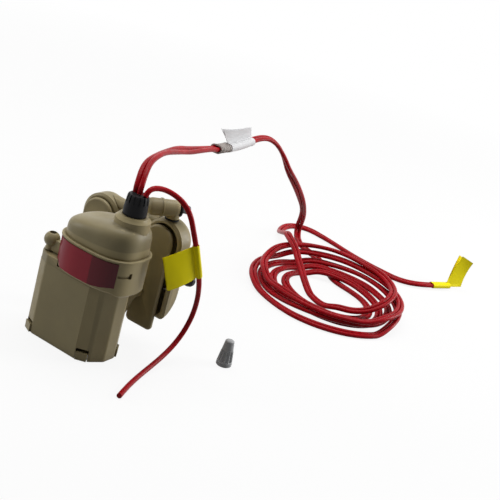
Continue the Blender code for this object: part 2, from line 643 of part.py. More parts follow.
def rotor():
    top = UPPER_BEARING_TOP + GAP
    shaft_bottom = STRAINER_TOP + 2 * GAP + VOLUTE_FLOOR
    add_object("motor_shaft", rod(SHAFT_R, (0, 0, shaft_bottom), (0, 0, top)), STEEL, 0.25, 1.0)
    core = turned(ring_profile(SHAFT_R + GAP, STATOR_BORE_R - RUN_GAP, STATOR_BOTTOM, STATOR_TOP), 24)
    add_object("rotor_core", core, STEEL, 0.45, 1.0)

    disc_bottom = IMPELLER_TOP - IMPELLER_DISC
    vane_bottom = STRAINER_TOP + GAP + VOLUTE_FLOOR + RUN_GAP
    bore = SHAFT_R + GAP
    hub = bore + 0.0012
    profile = [(bore, vane_bottom), (hub, vane_bottom), (hub, disc_bottom), (IMPELLER_R, disc_bottom),
               (IMPELLER_R, IMPELLER_TOP), (bore, IMPELLER_TOP)]
    impeller = add_object("impeller", turned(profile, 24), BLACK, 0.45)
    vanes = bmesh.new()
    for blade in range(VANES):
        rings = []
        for step in range(6):
            share = step / 5
            radius = hub - 0.0004 + (IMPELLER_R - hub - 0.0002) * share
            angle = 2 * math.pi * blade / VANES + 0.9 * share
            out = Vector((math.cos(angle), math.sin(angle), 0.0))
            across = Vector((-out.y, out.x, 0.0)) * VANE_THICK / 2
            low = out * radius + Vector((0, 0, vane_bottom + 0.0004))
            high = out * radius + Vector((0, 0, disc_bottom + 0.0004))
            rings.append([low - across, low + across, high + across, high - across])
        loft(vanes, rings)
    boolean(impeller, cutter("vanes", vanes), "UNION")


def electrics():
    top = BOARD_BOTTOM + BOARD_THICK
    board = box(bmesh.new(), (BOARD_X0, -BOARD_HALF_Y, BOARD_BOTTOM), (BOARD_X1, BOARD_HALF_Y, top))
    add_object("control_board", board, GREEN, 0.5)
    centre = Matrix.Translation((CAPACITOR_X, 0.0, top + GAP))
    can = [(0.0, 0.0), (CAPACITOR_R, 0.0), (CAPACITOR_R, CAPACITOR_HEIGHT - 0.0005),
           (CAPACITOR_R - 0.0005, CAPACITOR_HEIGHT), (0.0, CAPACITOR_HEIGHT)]
    add_object("run_capacitor", turned(can, ROUND, centre), GREY, 0.4)
    half = TERMINAL_SIZE / 2
    block = box(bmesh.new(), (TERMINAL_X - half, -half, top + GAP),
                (TERMINAL_X + half, half, top + GAP + TERMINAL_SIZE * 0.6))
    add_object("terminal_block", block, WHITE, 0.5)


# ================================================================ cap, gasket, label, gland
def dome_rings(offset, drop, steps, last):
    """Rings of the dome from its foot to near its top; drop lowers it for the inside."""
    rings = []
    for step in range(steps + 1):
        angle = (math.pi / 2) * last * step / steps
        ring = []
        for number, (edge_x, edge_y) in enumerate(cap_outline(offset)):
            towards = math.cos(2 * math.pi * (number + 0.5) / SEG)
            power = SQUARENESS_LEFT + (SQUARENESS_RIGHT - SQUARENESS_LEFT) * (1 + towards) / 2
            scale = math.cos(angle) ** power
            rise = math.sin(angle) ** power if step else 0.0
            x, y = CAP_X + (edge_x - CAP_X) * scale, CAP_Y + (edge_y - CAP_Y) * scale
            ring.append(Vector((x, y, SKIRT_TOP + max(dome_height(x) * rise - drop * rise, 0.0))))
        rings.append(ring)
    return rings


def skirt_drop(x):
    """How far the skirt's lower edge hangs below its level, beyond the can's right end."""
    share = min(max((x - CAN_HALF_WIDTH - GAP) / 0.0040, 0.0), 1.0)
    return SKIRT_DROP * share * share * (3 - 2 * share)


def domed_cap():
    def flat(offset, z):
        return [Vector((x, y, z)) for x, y in cap_outline(offset)]

    def low(offset, rise):
        return [Vector((x, y, SKIRT_BOTTOM + rise - skirt_drop(x))) for x, y in cap_outline(offset)]

    outside = [low(-0.0006, 0.0), low(0.0, 0.0009),
               flat(0.0, SKIRT_TOP - BEAD_HEIGHT),
               flat(BEAD, SKIRT_TOP - BEAD_HEIGHT + 0.0003), flat(BEAD, SKIRT_TOP - 0.0002),
               flat(BEAD - 0.0005, SKIRT_TOP + 0.0002)]
    outside += dome_rings(-DOME_INSET, 0.0, 5, 0.93)
    inside = dome_rings(-DOME_INSET - WALL, WALL, 2, 0.85)
    inside = inside[::-1][:-1] + [flat(-DOME_INSET - WALL, SKIRT_TOP - WALL),
                                  flat(-WALL, SKIRT_TOP - WALL - 0.0012),
                                  low(-WALL, 0.0)]
    bm = bmesh.new()
    rows = [[bm.verts.new(point) for point in ring] for ring in outside + inside]
    split = len(outside)
    for index, (low, high) in enumerate(zip(rows, rows[1:] + rows[:1])):
        if index == split - 1:
            bm.faces.new(low)
            bm.faces.new(list(reversed(high)))
            continue
        for i in range(SEG):
            j = (i + 1) % SEG
            bm.faces.new((low[i], low[j], high[j], high[i]))
    cap = add_object("domed_cap", bm, TAN, 0.42)

    collar = [(0.0, SKIRT_TOP + 0.0095), (COLLAR_R, SKIRT_TOP + 0.0095), (COLLAR_R, COLLAR_TOP - 0.0008),
              (COLLAR_R - 0.0008, COLLAR_TOP), (SEAT_R + 0.0006, SEAT_TOP - 0.0008),
              (SEAT_R, SEAT_TOP),
              (0.0, SEAT_TOP)]
    place = Matrix.Translation((COLLAR_X, 0, 0)) @ Matrix.Rotation(OFF_STEP, 4, "Z")
    boolean(cap, cutter("collar", turned(collar, 32, place)), "UNION")

    lugs = bmesh.new()
    for y in (-LUG_Y, LUG_Y):
        bottom = CAN_HEIGHT + GAP
        ball = [math.radians(a) for a in range(-54, 90, 18)]
        profile = [(0.0, bottom), (LUG_R * 0.58, bottom)]
        profile += [(LUG_R * math.cos(a), bottom + LUG_HEIGHT - LUG_R * (1 - math.sin(a))) for a in ball]
        profile += [(0.0, bottom + LUG_HEIGHT)]
        turned(profile, 24, Matrix.Translation((LUG_X, y, 0)) @ Matrix.Rotation(OFF_STEP, 4, "Z"), lugs)
    boolean(cap, cutter("screw_lugs", lugs), "UNION")
    webs = bmesh.new()
    for y in (-LUG_Y, LUG_Y):
        reach = CAP_X - CAP_HALF_WIDTH + WALL * 0.9 + 0.0012
        box(webs, (LUG_X, y - 0.0016, CAN_HEIGHT + 2 * GAP),
            (reach, y + 0.0016, CAN_HEIGHT + LUG_HEIGHT * 0.7))
    boolean(cap, cutter("lug_webs", webs), "UNION")

    bore = rod(GLAND_BORE_R, (COLLAR_X, 0, SKIRT_TOP), (COLLAR_X, 0, SEAT_TOP + 0.01))
    boolean(cap, cutter("gland_bore", bore))
    holes = bmesh.new()
    for y in (-LUG_Y, LUG_Y):
        seat = CAN_HEIGHT + LUG_HEIGHT * 0.62
        profile = [(0.0, CAN_HEIGHT - 0.01), (SCREW_R + GAP, CAN_HEIGHT - 0.01), (SCREW_R + GAP, seat),
                   (SCREW_HEAD_R + GAP, seat), (SCREW_HEAD_R + GAP, seat + 0.01), (0.0, seat + 0.01)]
        turned(profile, ROUND, Matrix.Translation((LUG_X, y, 0)), holes)
    boolean(cap, cutter("screw_holes", holes))

    slit = bmesh.new()
    steps = 5
    rings = []
    for step in range(steps + 1):
        angle = math.radians(LATCH_FROM + (LATCH_TO - LATCH_FROM) * step / steps)
        inner, outer = cap_point(angle, -0.0007), cap_point(angle, 0.002)
        rings.append([Vector((*inner, LATCH_Z - LATCH_SLIT / 2)),
                      Vector((*outer, LATCH_Z - LATCH_SLIT / 2)),
                      Vector((*outer, LATCH_Z + LATCH_SLIT / 2)), Vector((*inner,
                                                                          LATCH_Z + LATCH_SLIT / 2))])
    loft(slit, rings)
    boolean(cap, cutter("latch_slit", slit))
    hole_x, hole_y = cap_point(math.radians(LATCH_TO + 2.5))
    ahead = cap_point(math.radians(LATCH_TO + 4.5))
    angle = math.atan2(ahead[1] - hole_y, ahead[0] - hole_x)
    frame = Matrix.Translation((hole_x, hole_y, LATCH_Z + 0.0003)) @ Matrix.Rotation(angle, 4, "Z")
    window = box(bmesh.new(), (-0.0010, -0.004, -LATCH_WINDOW / 2), (0.0009, 0.004, LATCH_WINDOW / 2),
                 frame)
    boolean(cap, cutter("latch_window", window))


def cap_screws():
    seat = CAN_HEIGHT + LUG_HEIGHT * 0.62 + GAP
    for name, y in (("cap_screw_front", -LUG_Y), ("cap_screw_rear", LUG_Y)):
        profile = [(0.0, seat - LUG_HEIGHT * 0.62 - SCREW_LENGTH + 2 * GAP),
                   (SCREW_R, seat - LUG_HEIGHT * 0.62 - SCREW_LENGTH + 2 * GAP),
                   (SCREW_R, seat), (SCREW_HEAD_R, seat),
                   (SCREW_HEAD_R, seat + 0.0012),
                   (SCREW_HEAD_R * 0.4, seat + 0.0018),
                   (0.0, seat + 0.0018)]
        add_object(name, turned(profile, ROUND, Matrix.Translation((LUG_X, y, 0))), STEEL, 0.3, 1.0)


def cap_gasket():
    gasket = prism(can_outline(CAN_DRAFT + 0.0001), NECK_TOP + GAP, NECK_TOP + GAP + GASKET_THICK)
    made = add_object("cap_gasket", gasket, BLACK, 0.8)
    boolean(made, cutter("gasket_plan", prism(cap_outline(-WALL - 2 * GAP), 0.0, 0.1)), "INTERSECT")
    hollow = cutter("gasket_hole", prism(can_outline(CAN_DRAFT + GASKET_WIDTH), 0.0, 0.1))
    boolean(hollow, cutter("gasket_hole_plan", prism(cap_outline(-WALL - 2 * GAP - GASKET_WIDTH), -0.01,
                                                     0.11)), "INTERSECT")
    boolean(made, hollow)


def label_bottom(along_label):
    """Height of the label's lower edge: over the can's deck on the left, and lower in front of it."""
    start = min(max((along_label - 0.13) / 0.12, 0.0), 1.0)
    end = min(max((along_label - 0.55) / 0.45, 0.0), 1.0)
    return LABEL_BOTTOM - LABEL_DIP * start * start * (3 - 2 * start) * (1 - end * end * (3 - 2 * end))


def rating_label():
    rings = []
    steps = 22
    for step in range(steps + 1):
        angle = math.radians(LABEL_FROM + (LABEL_TO - LABEL_FROM) * step / steps)
        inner = cap_point(angle, GAP)
        outer = cap_point(angle, GAP + LABEL_THICK)
        bottom = label_bottom(step / steps)
        rings.append([Vector((*inner, bottom)), Vector((*outer, bottom)),
                      Vector((*outer, LABEL_TOP)), Vector((*inner, LABEL_TOP))])
    add_object("rating_label", loft(bmesh.new(), rings), MAROON, 0.35)


def cable_gland():
    base = SEAT_TOP + GAP
    top = base + GLAND_HEIGHT
    profile = [(0.0, SEAT_TOP - GLAND_STEM), (GLAND_BORE_R - GAP, SEAT_TOP - GLAND_STEM),
               (GLAND_BORE_R - GAP, base),
               (GLAND_BASE_R, base), (GLAND_BASE_R, base + GLAND_HEIGHT * 0.3),
               (GLAND_TOP_R + 0.0003, top - 0.0016),
               (GLAND_TOP_R, top - 0.0004), (GLAND_TOP_R - 0.0004, top), (0.0, top)]
    add_object("cable_gland", turned(profile, 24, Matrix.Translation((COLLAR_X, 0, 0))), BLACK, 0.45)


# ================================================================ rear unit
def chamber_ring(centre_x, y, inset, drop):
    """A cross-section of a chamber at depth y: arched top, bottom that sweeps up to the back."""
    share = min((y - chamber_front()) / (CHAMBER_BACK - chamber_front()), 1.0)
    bottom = CHAMBER_LOW + (CHAMBER_HIGH - CHAMBER_LOW) * (1 - math.sqrt(1 - share ** 2) ** 0.9)
    half = CHAMBER_R - inset
    turn = (y - (CHAMBER_BACK - BACK_ROUND)) / BACK_ROUND
    if turn > 0:
        half -= BACK_ROUND * (1 - math.sqrt(max(1 - turn ** 2, 0.0)))
    return arch_ring(centre_x, y, half, bottom + inset, CHAMBER_CORNER, drop)


def chamber_front():
    return COVER_FRONT + COVER_THICK + GAP


def chamber(name, centre_x, drop):
    front = chamber_front()
    depth = CHAMBER_BACK - front
    outside = [arch_ring(centre_x, front, CHAMBER_R - FRONT_ROUND, CHAMBER_LOW + FRONT_ROUND,
                         CHAMBER_CORNER, drop)]
    outside += [chamber_ring(centre_x, front + depth * share, 0.0, drop)
                for share in (0.07, 0.35, 0.6, 0.77, 0.9, 0.98)]
    inside = [chamber_ring(centre_x, front + depth * share, WALL, drop) for share in (0.86, 0.6, 0.12)]
    inside.append([Vector((p.x, front, p.z)) for p in chamber_ring(centre_x, front + depth * 0.01,
                                                                   WALL + 0.0006, drop)])
    bm = bmesh.new()
    rows = [[bm.verts.new(point) for point in ring] for ring in outside + inside]
    split = len(outside)
    count = len(rows[0])
    for index, (low, high) in enumerate(zip(rows, rows[1:] + rows[:1])):
        if index == split - 1:
            bm.faces.new(low)
            bm.faces.new(list(reversed(high)))
            continue
        for i in range(count):
            j = (i + 1) % count
            bm.faces.new((low[i], low[j], high[j], high[i]))
    return add_object(name, bm, TAN, 0.45)


def cover(name, centre_x, drop, half):
    front, back = COVER_FRONT, COVER_FRONT + COVER_THICK
    rings = [arch_ring(centre_x, front, half - 0.0006, COVER_BOTTOM + 0.0006, COVER_CORNER, drop),
             arch_ring(centre_x, front + 0.0006, half, COVER_BOTTOM, COVER_CORNER, drop),
             arch_ring(centre_x, back, half, COVER_BOTTOM, COVER_CORNER, drop)]
    return add_object(name, loft(bmesh.new(), rings), DARK_TAN, 0.5)


FLOAT_X = -CHAMBER_X + FLOAT_SHIFT
LINK_LEFT = Vector((FLOAT_X + 0.0030, LINK_Y, LINK_Z - FLOAT_DROP))
LINK_RIGHT = Vector((CHAMBER_X - 0.0030, LINK_Y, LINK_Z))


def rear_unit():
    float_chamber = chamber("float_chamber", FLOAT_X, FLOAT_DROP)
    riser_chamber = chamber("riser_chamber", CHAMBER_X, 0.0)
    float_cover = cover("float_cover", FLOAT_X, FLOAT_DROP, COVER_HALF)
    riser_cover = cover("riser_cover", RISER_COVER_X, 0.0, RISER_COVER_HALF)

    middle = (LINK_LEFT + LINK_RIGHT) / 2
    for body, end in ((float_chamber, LINK_LEFT), (riser_chamber, LINK_RIGHT)):
        hole = rod(LINK_BORE_R, end + (end - middle) * 0.02, middle)
        boolean(body, cutter(body.name + "_link_hole", hole))
    throat = rod(SPIGOT_R + GAP, (PIVOT_X, PIVOT_Y, ARCH_Z), (PIVOT_X, PIVOT_Y, ARCH_Z + CHAMBER_R + 0.01))
    boolean(riser_chamber, cutter("outlet_throat", throat))
    side_wall = CHAMBER_X + CHAMBER_R
    vent = rod(PLUG_STEM_R + GAP, (side_wall - 0.006, PLUG_Y, PLUG_Z), (side_wall + 0.006, PLUG_Y, PLUG_Z))
    boolean(riser_chamber, cutter("vent_hole", vent))
    inlet = rod(DUCT_BORE_R, (INLET_X, COVER_FRONT - 0.01, INLET_Z),
                (INLET_X, COVER_FRONT + 0.0045, INLET_Z))
    boolean(riser_cover, cutter("riser_inlet", inlet))

    slots = bmesh.new()
    for x in (-0.0050, 0.0, 0.0050):
        centre = FLOAT_X + x
        box(slots, (centre - LEVEL_SLOT_HALF, COVER_FRONT - 0.01, 0.0380),
            (centre + LEVEL_SLOT_HALF, COVER_FRONT + 0.0045, 0.0480))
    boolean(float_cover, cutter("level_slots", slots))

    bm = bmesh.new()
    front = CAN_HALF_DEPTH + GAP
    back = COVER_FRONT - GAP
    middle = (BRACE_BOTTOM + BRACE_TOP) / 2
    plan = [(front, BRACE_BOTTOM), (front + BRACE_FLANGE, BRACE_BOTTOM),
            (front + BRACE_FLANGE, middle - BRACE_WEB / 2),
            (back - BRACE_FLANGE, middle - BRACE_WEB / 2), (back - BRACE_FLANGE, BRACE_BOTTOM),
            (back, BRACE_BOTTOM),
            (back, BRACE_TOP), (back - BRACE_FLANGE, BRACE_TOP),
            (back - BRACE_FLANGE, middle + BRACE_WEB / 2),
            (front + BRACE_FLANGE, middle + BRACE_WEB / 2), (front + BRACE_FLANGE, BRACE_TOP),
            (front, BRACE_TOP)]
    loft(bm, [[Vector((x, y, z)) for y, z in plan] for x in (-BRACE_HALF, BRACE_HALF)])
    brace = add_object("rear_brace", bm, TAN, 0.5)
    boolean(brace, cutter("brace_duct_notch", duct_solid(DUCT_R + 2 * GAP, 0.004)))

    length = (LINK_RIGHT - LINK_LEFT).length
    link = turned([(0.0, 0.0), (LINK_FLARE_R, 0.0), (LINK_FLARE_R, 0.0015), (LINK_R + 0.0004, 0.0085),
                   (LINK_R, length / 2),
                   (LINK_R + 0.0004, length - 0.0085), (LINK_FLARE_R, length - 0.0015),
                   (LINK_FLARE_R, length),
                   (0.0, length)],
                  24, along(LINK_RIGHT - LINK_LEFT, LINK_LEFT))
    link_pipe = add_object("link_pipe", link, TAN, 0.45)
    for x, drop in ((FLOAT_X, FLOAT_DROP), (CHAMBER_X, 0.0)):
        rings = [arch_ring(x, y, CHAMBER_R + GAP, CHAMBER_LOW, 0.0, drop) for y in (0.02, 0.05)]
        boolean(link_pipe, cutter("link_saddle", loft(bmesh.new(), rings)))
    reach = (LINK_RIGHT - LINK_LEFT) * 0.1
    boolean(link_pipe, cutter("link_bore", rod(LINK_BORE_R, LINK_LEFT - reach, LINK_RIGHT + reach)))


def rounded_path(corners, radius, steps=5):
    """A polyline through corners whose bends are arcs of the given radius."""
    points = [Vector(corners[0])]
    for before, corner, after in zip(corners, corners[1:], corners[2:]):
        before, corner, after = Vector(before), Vector(corner), Vector(after)
        back, ahead = (before - corner).normalized(), (after - corner).normalized()
        half = back.angle(ahead) / 2
        reach = radius / math.tan(half)
        centre = corner + (back + ahead).normalized() * (radius / math.sin(half))
        start, end = corner + back * reach, corner + ahead * reach
        sweep = (start - centre).angle(end - centre)
        for step in range(steps + 1):
            share = sweep * step / steps
            points.append(centre + ((start - centre) * math.sin(sweep - share)
                                    + (end - centre) * math.sin(share)) / math.sin(sweep))
    points.append(Vector(corners[-1]))
    return points


def duct_points(extra):
    """Centre line of the duct from the can's port to the riser's inlet."""
    start_y = CAN_HALF_DEPTH + GAP - extra
    end_y = COVER_FRONT - GAP + extra
    middle_y = (CAN_HALF_DEPTH + COVER_FRONT) / 2
    corners = ((PORT_X, start_y, PORT_Z), (PORT_X, middle_y, PORT_Z),
               (INLET_X, middle_y, INLET_Z), (INLET_X, end_y, INLET_Z))
    return rounded_path(corners, DUCT_BEND, 4)


def tube_mesh(bm, points, radius, sides, end_axis):
    """Skins a round tube along points, with both end faces square to the given axis."""
    rings = []
    count = len(points)
    reference = None
    for i, point in enumerate(points):
        ahead = points[min(i + 1, count - 1)] - points[max(i - 1, 0)]
        if i == 0 or i == count - 1:
            ahead = Vector(end_axis)
        ahead = ahead.normalized()
        if reference is None:
            reference = Vector((0, 0, 1)) if abs(ahead.z) < 0.9 else Vector((1, 0, 0))
        side = (reference - ahead * reference.dot(ahead)).normalized()
        reference = side
        up = ahead.cross(side)
        rings.append([point + (side * math.cos(a) + up * math.sin(a)) * radius
                      for a in (2 * math.pi * (k + 0.5) / sides for k in range(sides))])
    return loft(bm, rings)


def duct_solid(radius, extra):
    return tube_mesh(bmesh.new(), duct_points(extra), radius, 14, (0, 1, 0))


def crossover_duct():
    duct = add_object("crossover_duct", duct_solid(DUCT_R, 0.0), DARK_TAN, 0.5)
    boolean(duct, cutter("duct_bore", duct_solid(DUCT_BORE_R, 0.001)))


def float_and_flap():
    rod_x, rod_y = FLOAT_X, (chamber_front() + CHAMBER_BACK) / 2 - 0.0010
    low = FLOAT_REST - 0.0016
    high = ARCH_Z + CHAMBER_R - WALL - GAP - FLOAT_DROP
    add_object("float_rod", rod(ROD_R, (rod_x, rod_y, low), (rod_x, rod_y, high), 12), STEEL, 0.3, 1.0)
    profile = [(ROD_R + GAP, FLOAT_REST), (FLOAT_R - 0.0006, FLOAT_REST), (FLOAT_R, FLOAT_REST + 0.0006),
               (FLOAT_R, FLOAT_REST + FLOAT_HEIGHT - 0.0006), (FLOAT_R - 0.0006, FLOAT_REST + FLOAT_HEIGHT),
               (ROD_R + GAP, FLOAT_REST + FLOAT_HEIGHT)]
    level = add_object("level_float", turned(profile, ROUND, Matrix.Translation((rod_x, rod_y, 0))),
                       WHITE, 0.4)
    hang_on(level, (rod_x, rod_y, FLOAT_REST))

    reach = CHAMBER_R - WALL - GAP - 0.0002
    pin = rod(FLAP_PIN_R, (CHAMBER_X - reach, FLAP_PIN_Y, FLAP_PIN_Z),
              (CHAMBER_X + reach, FLAP_PIN_Y, FLAP_PIN_Z), 12)
    add_object("flap_pin", pin, STEEL, 0.3, 1.0)
    knuckle = turned(ring_profile(FLAP_PIN_R + GAP, FLAP_KNUCKLE_R, 0.0, 2 * FLAP_HALF), 16,
                     along((1, 0, 0), (FLAP_X - FLAP_HALF, FLAP_PIN_Y, FLAP_PIN_Z)))
    flap = add_object("check_flap", knuckle, BLACK, 0.6)
    plate = box(bmesh.new(), (FLAP_X - FLAP_HALF, FLAP_PIN_Y - FLAP_KNUCKLE_R + 0.0001,
                              FLAP_PIN_Z - FLAP_LENGTH),
                (FLAP_X + FLAP_HALF, FLAP_PIN_Y - FLAP_KNUCKLE_R + 0.0001 + FLAP_THICK,
                 FLAP_PIN_Z - 0.0004))
    hole = rod(FLAP_PIN_R + GAP, (FLAP_X - 0.01, FLAP_PIN_Y, FLAP_PIN_Z),
               (FLAP_X + 0.01, FLAP_PIN_Y, FLAP_PIN_Z), 16)
    boolean(flap, cutter("flap_plate", plate), "UNION")
    boolean(flap, cutter("flap_hole", hole))
    hang_on(flap, (FLAP_X, FLAP_PIN_Y, FLAP_PIN_Z))


def barrel_frame():
    """Matrix with +X along the barrel towards its outlet and the origin on the pivot at barrel height."""
    return Matrix.Translation((PIVOT_X, PIVOT_Y, BARREL_Z)) @ Matrix.Rotation(math.radians(BARREL_YAW),
                                                                              4, "Z")


def outlet_elbow():
    lay = barrel_frame() @ along((1, 0, 0), (0, 0, 0))
    front, back, seam = -BARREL_FRONT, BARREL_BACK, -BARREL_SEAM
    profile = [(0.0, front), (BARREL_R * 0.55, front), (BARREL_R * 0.9, front + 0.0012),
               (BARREL_R, front + 0.003),
               (BARREL_R - 0.0001, seam - 0.0006),
               (BARREL_R + 0.0003, seam - 0.0004), (BARREL_R + 0.0003, seam + 0.0004),
               (BARREL_R - 0.0002, seam + 0.0006), (BARREL_R - 0.0002, back - 0.0022),
               (BARREL_R * 0.86, back - 0.0004),
               (BARREL_R * 0.8, back), (0.0, back)]
    elbow = add_object("outlet_elbow", turned(profile, 24, lay), TAN, 0.42)
    roof = ARCH_Z + CHAMBER_R
    stub_bottom = roof - WALL
    profile = [(0.0, stub_bottom), (SPIGOT_R, stub_bottom), (SPIGOT_R, roof + GAP), (STUB_R, roof + GAP),
               (STUB_R, BARREL_Z - 0.001), (0.0, BARREL_Z - 0.001)]
    turn = Matrix.Translation((PIVOT_X, PIVOT_Y, 0)) @ Matrix.Rotation(0.11, 4, "Z")
    boolean(elbow, cutter("elbow_stub", turned(profile, ROUND, turn)), "UNION")
    bore = rod(STUB_BORE_R, (PIVOT_X, PIVOT_Y, stub_bottom - 0.002), (PIVOT_X, PIVOT_Y, BARREL_Z))
    boolean(elbow, cutter("stub_bore", bore))
    frame = barrel_frame()
    run = rod(BARREL_BORE_R, frame @ Vector((-0.0022, 0, 0)), frame @ Vector((BARREL_BACK + 0.002, 0, 0)))
    boolean(elbow, cutter("barrel_bore", run))

    ring_start = BARREL_BACK + GAP
    ring = turned(ring_profile(BARB_R + GAP, RING_R, ring_start, ring_start + RING_THICK), 24, lay)
    ring = add_object("outlet_seal_ring", ring, BLACK, 0.6)
    inner = BARREL_BORE_R - GAP
    barb_end = ring_start + RING_THICK + BARB_LENGTH
    barb = [(BARB_BORE_R, -0.0006), (inner, -0.0006), (inner, BARREL_BACK), (BARB_R, BARREL_BACK),
            (BARB_R, barb_end - 0.0022), (BARB_R + 0.00025, barb_end - 0.0020), (BARB_R - 0.0003, barb_end),
            (BARB_BORE_R, barb_end)]
    barb = add_object("outlet_barb", turned(barb, ROUND, lay), GREY, 0.25, 0.6)
    for made in (elbow, ring, barb):
        hang_on(made, (PIVOT_X, PIVOT_Y, BARREL_Z))

    profile = ring_profile(STUB_R + GAP, STUB_R + GAP + SEAL_WIDTH, roof + GAP, roof + GAP + SEAL_HEIGHT)
    seal = turned(profile, 24, Matrix.Translation((PIVOT_X, PIVOT_Y, 0)))
    add_object("elbow_seal", seal, BLACK, 0.7)


def vent_plug():
    start = CHAMBER_X + CHAMBER_R + GAP
    lay = along((1, 0, 0), (start, PLUG_Y, PLUG_Z))
    profile = [(0.0, -WALL - 0.0008), (PLUG_STEM_R, -WALL - 0.0008), (PLUG_STEM_R, 0.0),
               (PLUG_STEM_R + 0.0007, 0.0),
               (PLUG_STEM_R + 0.0007, PLUG_NECK), (PLUG_HEAD_R, PLUG_NECK), (PLUG_HEAD_R, PLUG_HEAD * 0.68),
               (PLUG_HEAD_R * 0.82, PLUG_HEAD * 0.88), (PLUG_HEAD_R * 0.45, PLUG_HEAD), (0.0, PLUG_HEAD)]
    hang_on(add_object("vent_plug", turned(profile, 24, lay), BLACK, 0.35), (start, PLUG_Y, PLUG_Z))


# ================================================================ wires
def smooth_path(points, spacing, after=None, before=None):
    """A Catmull-Rom curve through the points, resampled at an even spacing."""
    control = np.array(points, dtype=float)
    first = 2 * control[0] - control[1] if before is None else np.array(before, dtype=float)
    last = 2 * control[-1] - control[-2] if after is None else np.array(after, dtype=float)
    control = np.vstack([first, control, last])
    fine = []
    for i in range(1, len(control) - 2):
        p0, p1, p2, p3 = control[i - 1:i + 3]
        for t in np.linspace(0.0, 1.0, 24, endpoint=False):
            fine.append(0.5 * (2 * p1 + (p2 - p0) * t + (2 * p0 - 5 * p1 + 4 * p2 - p3) * t * t
                               + (3 * p1 - p0 - 3 * p2 + p3) * t ** 3))
    fine.append(control[-2])
    return resample(np.array(fine), spacing)


def resample(path, spacing):
    steps = np.linalg.norm(np.diff(path, axis=0), axis=1)
    run = np.concatenate([[0.0], np.cumsum(steps)])
    count = max(int(round(run[-1] / spacing)), 2)
    marks = np.linspace(0.0, run[-1], count + 1)
    return np.column_stack([np.interp(marks, run, path[:, k]) for k in range(3)])


def path_length(path):
    return float(np.linalg.norm(np.diff(path, axis=0), axis=1).sum())


def coil_plan():
    """Loops of the pair seen from above, running clockwise; each loop has a place of its own in the heap."""
    points = []
    shapes = np.array(COIL_SHAPE)
    marks = np.arange(len(shapes)) - 0.5
    for i in range(round(COIL_TURNS * COIL_POINTS) + 1):
        turns = i / COIL_POINTS
        angle = math.radians(COIL_START) - 2 * math.pi * turns
        spread = [turns + shift for shift in (-0.24, -0.08, 0.08, 0.24)]
        centre_x, centre_y, half_x, half_y, tilt = (np.interp(spread, marks,
                                                              shapes[:, k]).mean() for k in range(5))
        wander = COIL_WANDER * min(turns, 1.0)
        turn = math.radians(tilt)
        x, y = half_x * math.cos(angle - turn), half_y * math.sin(angle - turn)
        points.append((centre_x + x * math.cos(turn) - y * math.sin(turn) + wander * math.sin(1.9 * turns),
                       centre_y + x * math.sin(turn) + y * math.cos(turn) + wander * math.cos(2.6 * turns)))
    return np.array(points)


def settle(plan, floor, under):
    """Lays a pair of wires down along its plan: each strand rests on those already there.

    The pair is treated as a flat band. Where it crosses an earlier strand it rides over it, and its
    stiffness spreads each rise into a long low hump.
    """
    first = len(under)
    plan = np.vstack([np.array(under)[:, :2], plan])
    count = len(plan)
    parts = 8
    band = 2 * PAIR_HALF
    pitch = WIRE_D + COIL_CLEAR
    share = np.arange(parts) / parts
    ahead = plan[1:] - plan[:-1]
    fine = (plan[:-1, None, :] + ahead[:, None, :] * share[None, :, None]).reshape(-1, 2)
    owner = np.repeat(np.arange(count - 1), parts)
    weight = np.tile(share, count - 1)
    distance = np.linalg.norm(fine[:, None, :] - fine[None, :, :], axis=2)
    beyond = np.clip((distance - band) / pitch, 0.0, 1.0)
    lift = pitch * np.sqrt(1.0 - beyond ** 2)
    contact = (distance < band + pitch) & (owner[:, None] - owner[None, :] > COIL_POINTS // 3)
    height = np.full(count, floor)
    height[:first] = np.array(under)[:, 2]
    step = np.linalg.norm(ahead, axis=1)
    for _ in range(7):
        for i in range(first, count):
            mine = np.flatnonzero((owner == i) | (owner == i - 1))
            need = floor
            for k in mine:
                below = np.flatnonzero(contact[k])
                if len(below):
                    share_here, at = weight[below], owner[below]
                    level = height[at] * (1 - share_here) + height[at + 1] * share_here
                    need = max(need, float((level + lift[k, below]).max()))
            height[i] = max(height[i], need)
            height[i] = max(height[i], height[i - 1] - COIL_SLOPE * step[i - 1])
        for i in range(count - 2, first, -1):
            height[i] = max(height[i], height[i + 1] - COIL_SLOPE * step[i])
    return height[first:]


def from_gland(place, route):
    """A route that first leaves the gland's top straight up for one wire diameter."""
    start = SEAT_TOP + GAP + GLAND_HEIGHT + GAP
    return [(*place, start), (*place, start + WIRE_D)] + list(route)


def pair_route():
    """Centre line of the pair, as two stretches: the run through the air, then the coil with its tail."""
    floor = WIRE_D / 2 + FLOOR_GAP
    coil = coil_plan()
    entry = [(*coil[0], floor)]
    route = from_gland(PAIR_EXIT, PAIR_ROUTE)
    run = smooth_path(route[1:] + entry, 2.7 * WIRE_D, (*coil[1], floor), route[0])
    run = np.vstack([route[0], run])
    run[:, 2] = np.maximum(run[:, 2], floor)
    tail = smooth_path([(*coil[-1], 0.0)] + list(TAIL_ROUTE), 3.0 * WIRE_D, None, (*coil[-2], 0.0))[1:, :2]
    joined = np.vstack([coil, tail])
    under = [point for point in run[:-1] if point[1] > coil[0][1] - 0.05 and point[2] < 2 * WIRE_D]
    height = settle(joined, floor, under)
    steps = np.concatenate([[0.0], np.cumsum(np.linalg.norm(np.diff(joined, axis=0), axis=1))])
    rise = np.clip((steps - steps[-1] + FAR_TAG_LENGTH + 0.020) / 0.020, 0.0, 1.0)
    rise = rise * rise * (3 - 2 * rise)
    height = np.maximum(height, floor + (GAP + TAG_SHEET) * rise)
    laid = np.column_stack([joined, height])
    return run, laid


